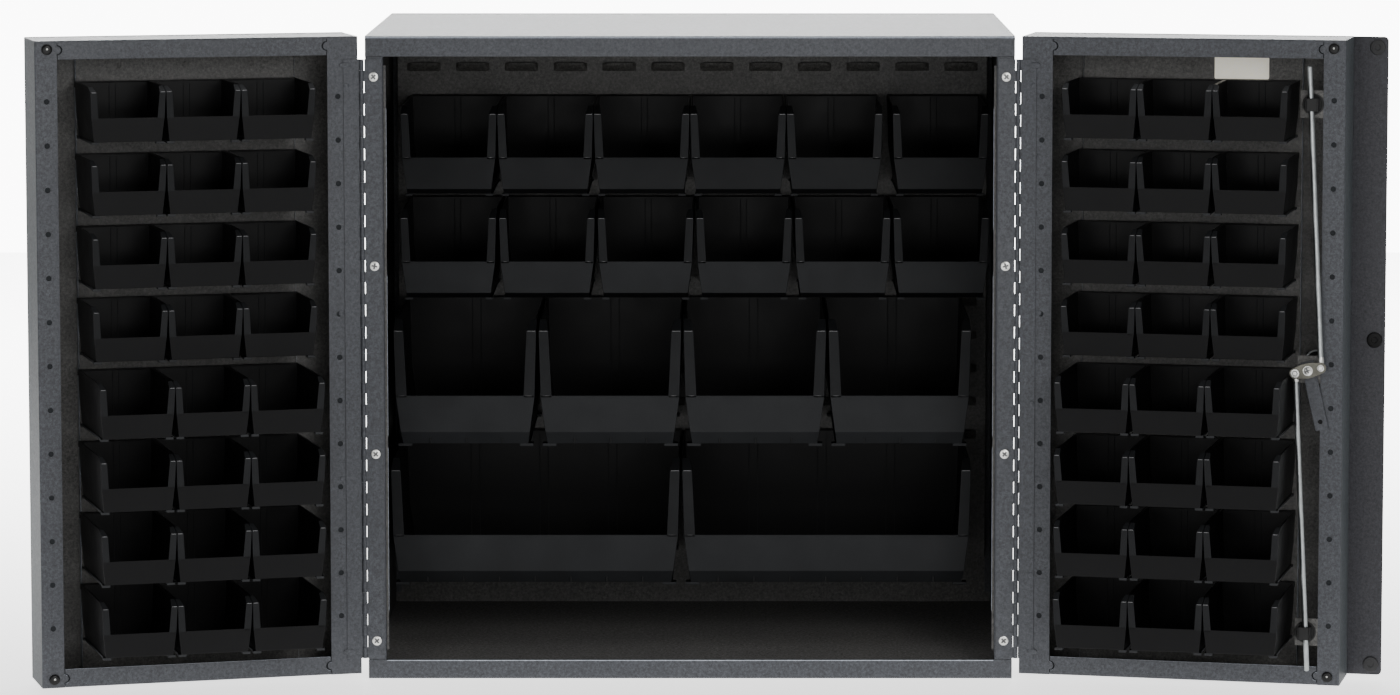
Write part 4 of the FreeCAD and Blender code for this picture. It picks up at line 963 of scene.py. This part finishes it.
def bin_shape(kind):
    """An open-fronted bin with its origin at the middle of its lower back edge and its mouth towards -Y."""
    width, height, length, shoulder, taper, wing, rise, run, toe, toe_rise, ease = KINDS[kind]
    crest = height - rise
    big = kind in ("large", "wide")

    def half(z):
        if z < shoulder:
            return width / 2 - ease - (taper - ease) * (1 - z / shoulder)
        return width / 2 - ease * max(0.0, 1 - (z - shoulder) / (crest - shoulder))

    def front(z):
        return -(length - toe * (1 - z / toe_rise)) if z < toe_rise else -length

    # side walls, and the wings along their front edges
    pieces = []
    for sign in (-1, 1):
        rows = []
        for z in sorted({0.0, toe_rise, shoulder, crest}) + [height]:
            y = front(z) + 0.5 if z < height else run - length
            x, inner = sign * (half(z) - 0.06), sign * (half(z) - WALL)
            rows.append([(x, y, z), (x, -0.5, z), (inner, -0.5, z), (inner, y, z)])
        pieces.append(loft(rows, 0.7))
        rows = []
        for y, z, share, deep, down in ((front(shoulder - 3), shoulder - 3, 1, WALL, 0),
                                        (front(crest), crest, 0.88, WALL, -0.6),
                                        (run - length, height, 0.62, 0.5, -WALL)):
            x, inner = sign * half(z), sign * (half(z) - wing * share)
            rows.append([(x, y, z), (inner, y, z), (inner, y + deep, z + down), (x, y + deep, z + down)])
        pieces.append(loft(rows, 0.75, 3))
    # front wall, back wall, floor and the hook along the back rim
    rows = [level(-half(z), half(z), front(z), front(z) + WALL, z)
            for z in sorted({0.0, min(toe_rise, shoulder), shoulder})]
    pieces.append(loft(rows, 0.85, 3))
    pieces.append(loft([level(-half(z), half(z), 0, -WALL, z) for z in (0.0, shoulder, crest, height)], 0.7))
    low, y = half(0) - 0.4, front(0) + 0.4
    pieces.append(loft([level(-low, low, -0.4, y, z) for z in (0.05, WALL)]))
    side = width / 2
    for y0, y1, z0, z1 in ((-WALL, 8.2, height - 2.5, height), (6.2, 8.2, height - 8.5, height - 0.02)):
        pieces.append(loft([level(-side, side, y0, y1, z) for z in (z0, z1)], 0.5))
    # ribs up the back wall, and small ones behind the large bins' toe
    spread = 6.5 if big else 4.5
    for centre in (-104, 0, 104) if kind == "wide" else (0,):
        for x in (centre - spread, centre + spread):
            pieces.append(block((x - 0.6, -WALL - 1.1, WALL), (x + 0.6, -WALL + 0.3, height - 4)))
    if big:
        for x in range(-int(width / 2) + 52, int(width / 2) - 40, 52):
            pieces.append(block((x - 1, front(6) - 0.3, 1.5), (x + 1, -length + 9, 14)))
    # runners along both lower edges, with a wider foot at each end
    foot, by, thick = (20.0, 7.0, 4.0) if big else (11.0, 3.2, 3.4)
    bottom, outside = half(0), half(0) + by
    for sign in (-1, 1):
        for inner, outer, y0, y1 in ((bottom - 2, bottom + 1.4, front(0) + 2, -2),
                                     (outside - foot, outside, front(0) + 1, front(0) + foot),
                                     (outside - foot, outside, -foot, -1)):
            x0, x1 = sorted((sign * inner, sign * outer))
            pieces.append(loft([level(x0, x1, y0, y1, z) for z in (-thick, 0.3)], 0.4, 1))
    # frame for a label on the front wall
    if kind == "middle":
        for x0, x1, z0, z1 in ((-46, -45, 9, 50), (45, 46, 9, 50), (-46, 46, 8, 9)):
            pieces.append(block((x0, -length - 0.3, z0), (x1, -length + 0.3, z1)))

    # coats: 0 the front, a lighter copy of the plastic whose tone paints the light and shade of its row, also
    # painting light on the slopes, ribs and the large bins' toe; 1 the plain plastic; 2 painted highlights on
    # edges; 3 a shaded copy on the wings above the front wall
    bm = collect(pieces)
    bm.normal_update()
    for face in bm.faces:
        spot, way = face.calc_center_median(), face.normal
        slope = spot.z > crest - 2 and spot.y < run - length and way.z > 0.6
        rib = abs(spot.y + WALL + 1.1) < 0.05 and way.y < -0.9
        toe_face = big and spot.z < toe_rise and spot.y < toe - length and way.y < -0.5
        face.material_index = 0 if spot.y < 3.0 - length or spot.z < -0.2 or slope or rib or toe_face else 1
        if face.material_index == 0 and spot.z > shoulder + 0.1 and not slope:
            face.material_index = 3
    # painted highlights: thin pale beads along the crests of the wings and the ends of the front wall's rim
    marks = [(half(crest) - wing * 0.88 + 1.2, half(crest) - 1.2, crest - 0.1, 0.42)]
    if kind not in ("short", "long"):
        marks.append((half(shoulder) - wing + 1.0, half(shoulder) - 2.5, shoulder - 0.3, 0.34))
    for sign in (-1, 1):
        for a, b, z, radius in marks:
            path = [(sign * x, front(z) + y, z) for x, y in ((a, 0.35), ((a + b) / 2, 0.25), (b, 0.35))]
            add(bm, paint(tube(path, radius, 8, 0.2), 2))
    return bm


def bins():
    shapes = {kind: bin_shape(kind) for kind in KINDS}
    # the fronts wear copies of the plastic with painted light and shade: the darkest in the top row and on
    # the wings, a darker one on the other rows inside the cabinet, the lit one in the doors
    coats = (BLACK, EDGE_HIGHLIGHT, SHADED_FACE)
    for row, kind, count in (("one", "middle", 6), ("two", "middle", 6), ("three", "large", 4),
                             ("four", "wide", 2)):
        for i in range(count):
            node = "bin_row_%s_%d" % (row, i + 1)
            low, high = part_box(node)
            place = ((low.x + high.x) / 2 / MM, low.y / MM + KINDS[kind][2], low.z / MM)
            bm = shapes[kind].copy()
            bm.transform(at(place))
            dress(node + "_dress", bm, (SHADED_FACE if row == "one" else INSIDE_SHADE_FACE, *coats), node,
                  replaced=node)
    for side, start in (("left", EDGE + 125.4), ("right", EDGE + 119.4)):
        for pair in range(4):
            node = "%s_door_bins_%d" % (side, pair + 1)
            bm = bmesh.new()
            for row in (2 * pair, 2 * pair + 1):
                for i in range(3):
                    place = (start + 105.2 * i, DOOR_PANEL - 8.5, DOOR_ROW - 76.2 - DOOR_ROW_PITCH * row)
                    merge(bm, shapes["short" if row < 4 else "long"], at(place))
            dress(node + "_dress", bm, (LIT_FRONT_FACE, *coats), side + "_door", door(side),
                  replaced=node)
    for bm in shapes.values():
        bm.free()


def label():
    bm = plate([rounded(265.6, 342.6, 853.2, 890.5, 2.0)], 0.5, standing(DOOR_PANEL - 0.3), 0.1)
    dress("bare_label_plate", bm, LABEL, "right_door", door("right"))


# ---- studio
def studio():
    mesh = bpy.data.meshes.new("floor")
    bm = bmesh.new()
    bm.faces.new([bm.verts.new((x, y, -0.0006)) for x, y in ((-9, -12), (9, -12), (9, 6), (-9, 6))])
    bm.to_mesh(mesh)
    bm.free()
    floor = new_object("floor", mesh)
    # the floor glows behind the part, less so beside it
    tree = Tree(bpy.data.materials.new("pale_floor"))
    tree.set("Base Color", (0.86, 0.86, 0.86, 1))
    tree.set("Roughness", 0.7)
    tree.set("Emission Color", (1, 1, 1, 1))
    spot = tree.axes("Object")
    behind = tree.span(spot["Y"], 0.7, 8.0, -1.8, 4.2, "SMOOTHSTEP")
    beside = tree.span(tree.math("ABSOLUTE", spot["X"]), 1.0, 0.08, 1.4, 3.1, "SMOOTHSTEP")
    tree.feed(tree.math("MULTIPLY", behind, beside), "Emission Strength")
    mesh.materials.append(tree.owner)

    # the sky is white behind the part and dim in front of it
    scene.world = bpy.data.worlds.new("studio")
    tree = Tree(scene.world)
    tone = tree.ramp(tree.span(tree.axes("Generated")["Y"], 0.0, 1.0, -1.0, 1.0), (0.0, 0.035),
                     (0.75, (0.04, 0.04, 0.041)), (0.955, 0.10), (0.989, 1.0))
    sky = tree.nodes["Background"]
    tree.links.new(tone, sky.inputs["Color"])
    sky.inputs["Strength"].default_value = 10.5
    for name, place, target, size, power in (
        ("key", (2.2, -6.4, 2.3), (0, -0.3, 0.45), (2.4, 2.0), 122),
        ("fill", (-2.6, -6.0, 1.9), (0, -0.3, 0.45), (2.0, 2.0), 30),
        ("left", (-4.2, 0.2, 1.6), (-0.9, -0.3, 0.5), (1.6, 2.2), 18),
        ("top", (0, 0.9, 3.4), (0, 0, 0.5), (3.6, 1.6), 22),
        ("low", (0, -3.9, 0.55), (0, 0.2, 0.25), (1.9, 0.5), 14),
    ):
        light = bpy.data.lights.new(name, "AREA")
        light.shape = "RECTANGLE"
        light.size, light.size_y = size
        light.energy = power
        lamp = new_object(name, light)
        lamp.visible_camera = False
        lamp.location = place
        lamp.rotation_euler = (Vector(target) - Vector(place)).to_track_quat("-Z", "Y").to_euler()

    # the camera was fitted to the photograph, in pixels of its width
    picture, focal, aside = 1400, 5368, -26.6
    lens = bpy.data.cameras.new("camera")
    lens.sensor_width = 36
    lens.lens = focal / picture * lens.sensor_width
    lens.shift_x, lens.shift_y = aside / picture, -0.0516
    lens.clip_end = 100
    camera = new_object("camera", lens)
    camera.location = (0.0516, -7.8436, 1.3378)
    camera.rotation_euler = (radians(90 - 5.765), 0, 0)
    scene.camera = camera


studio()
shell()
for hand in ("left", "right"):
    door_shell(hand)
    hinges(hand)
fasteners()
strip()
latch()
bins()
label()
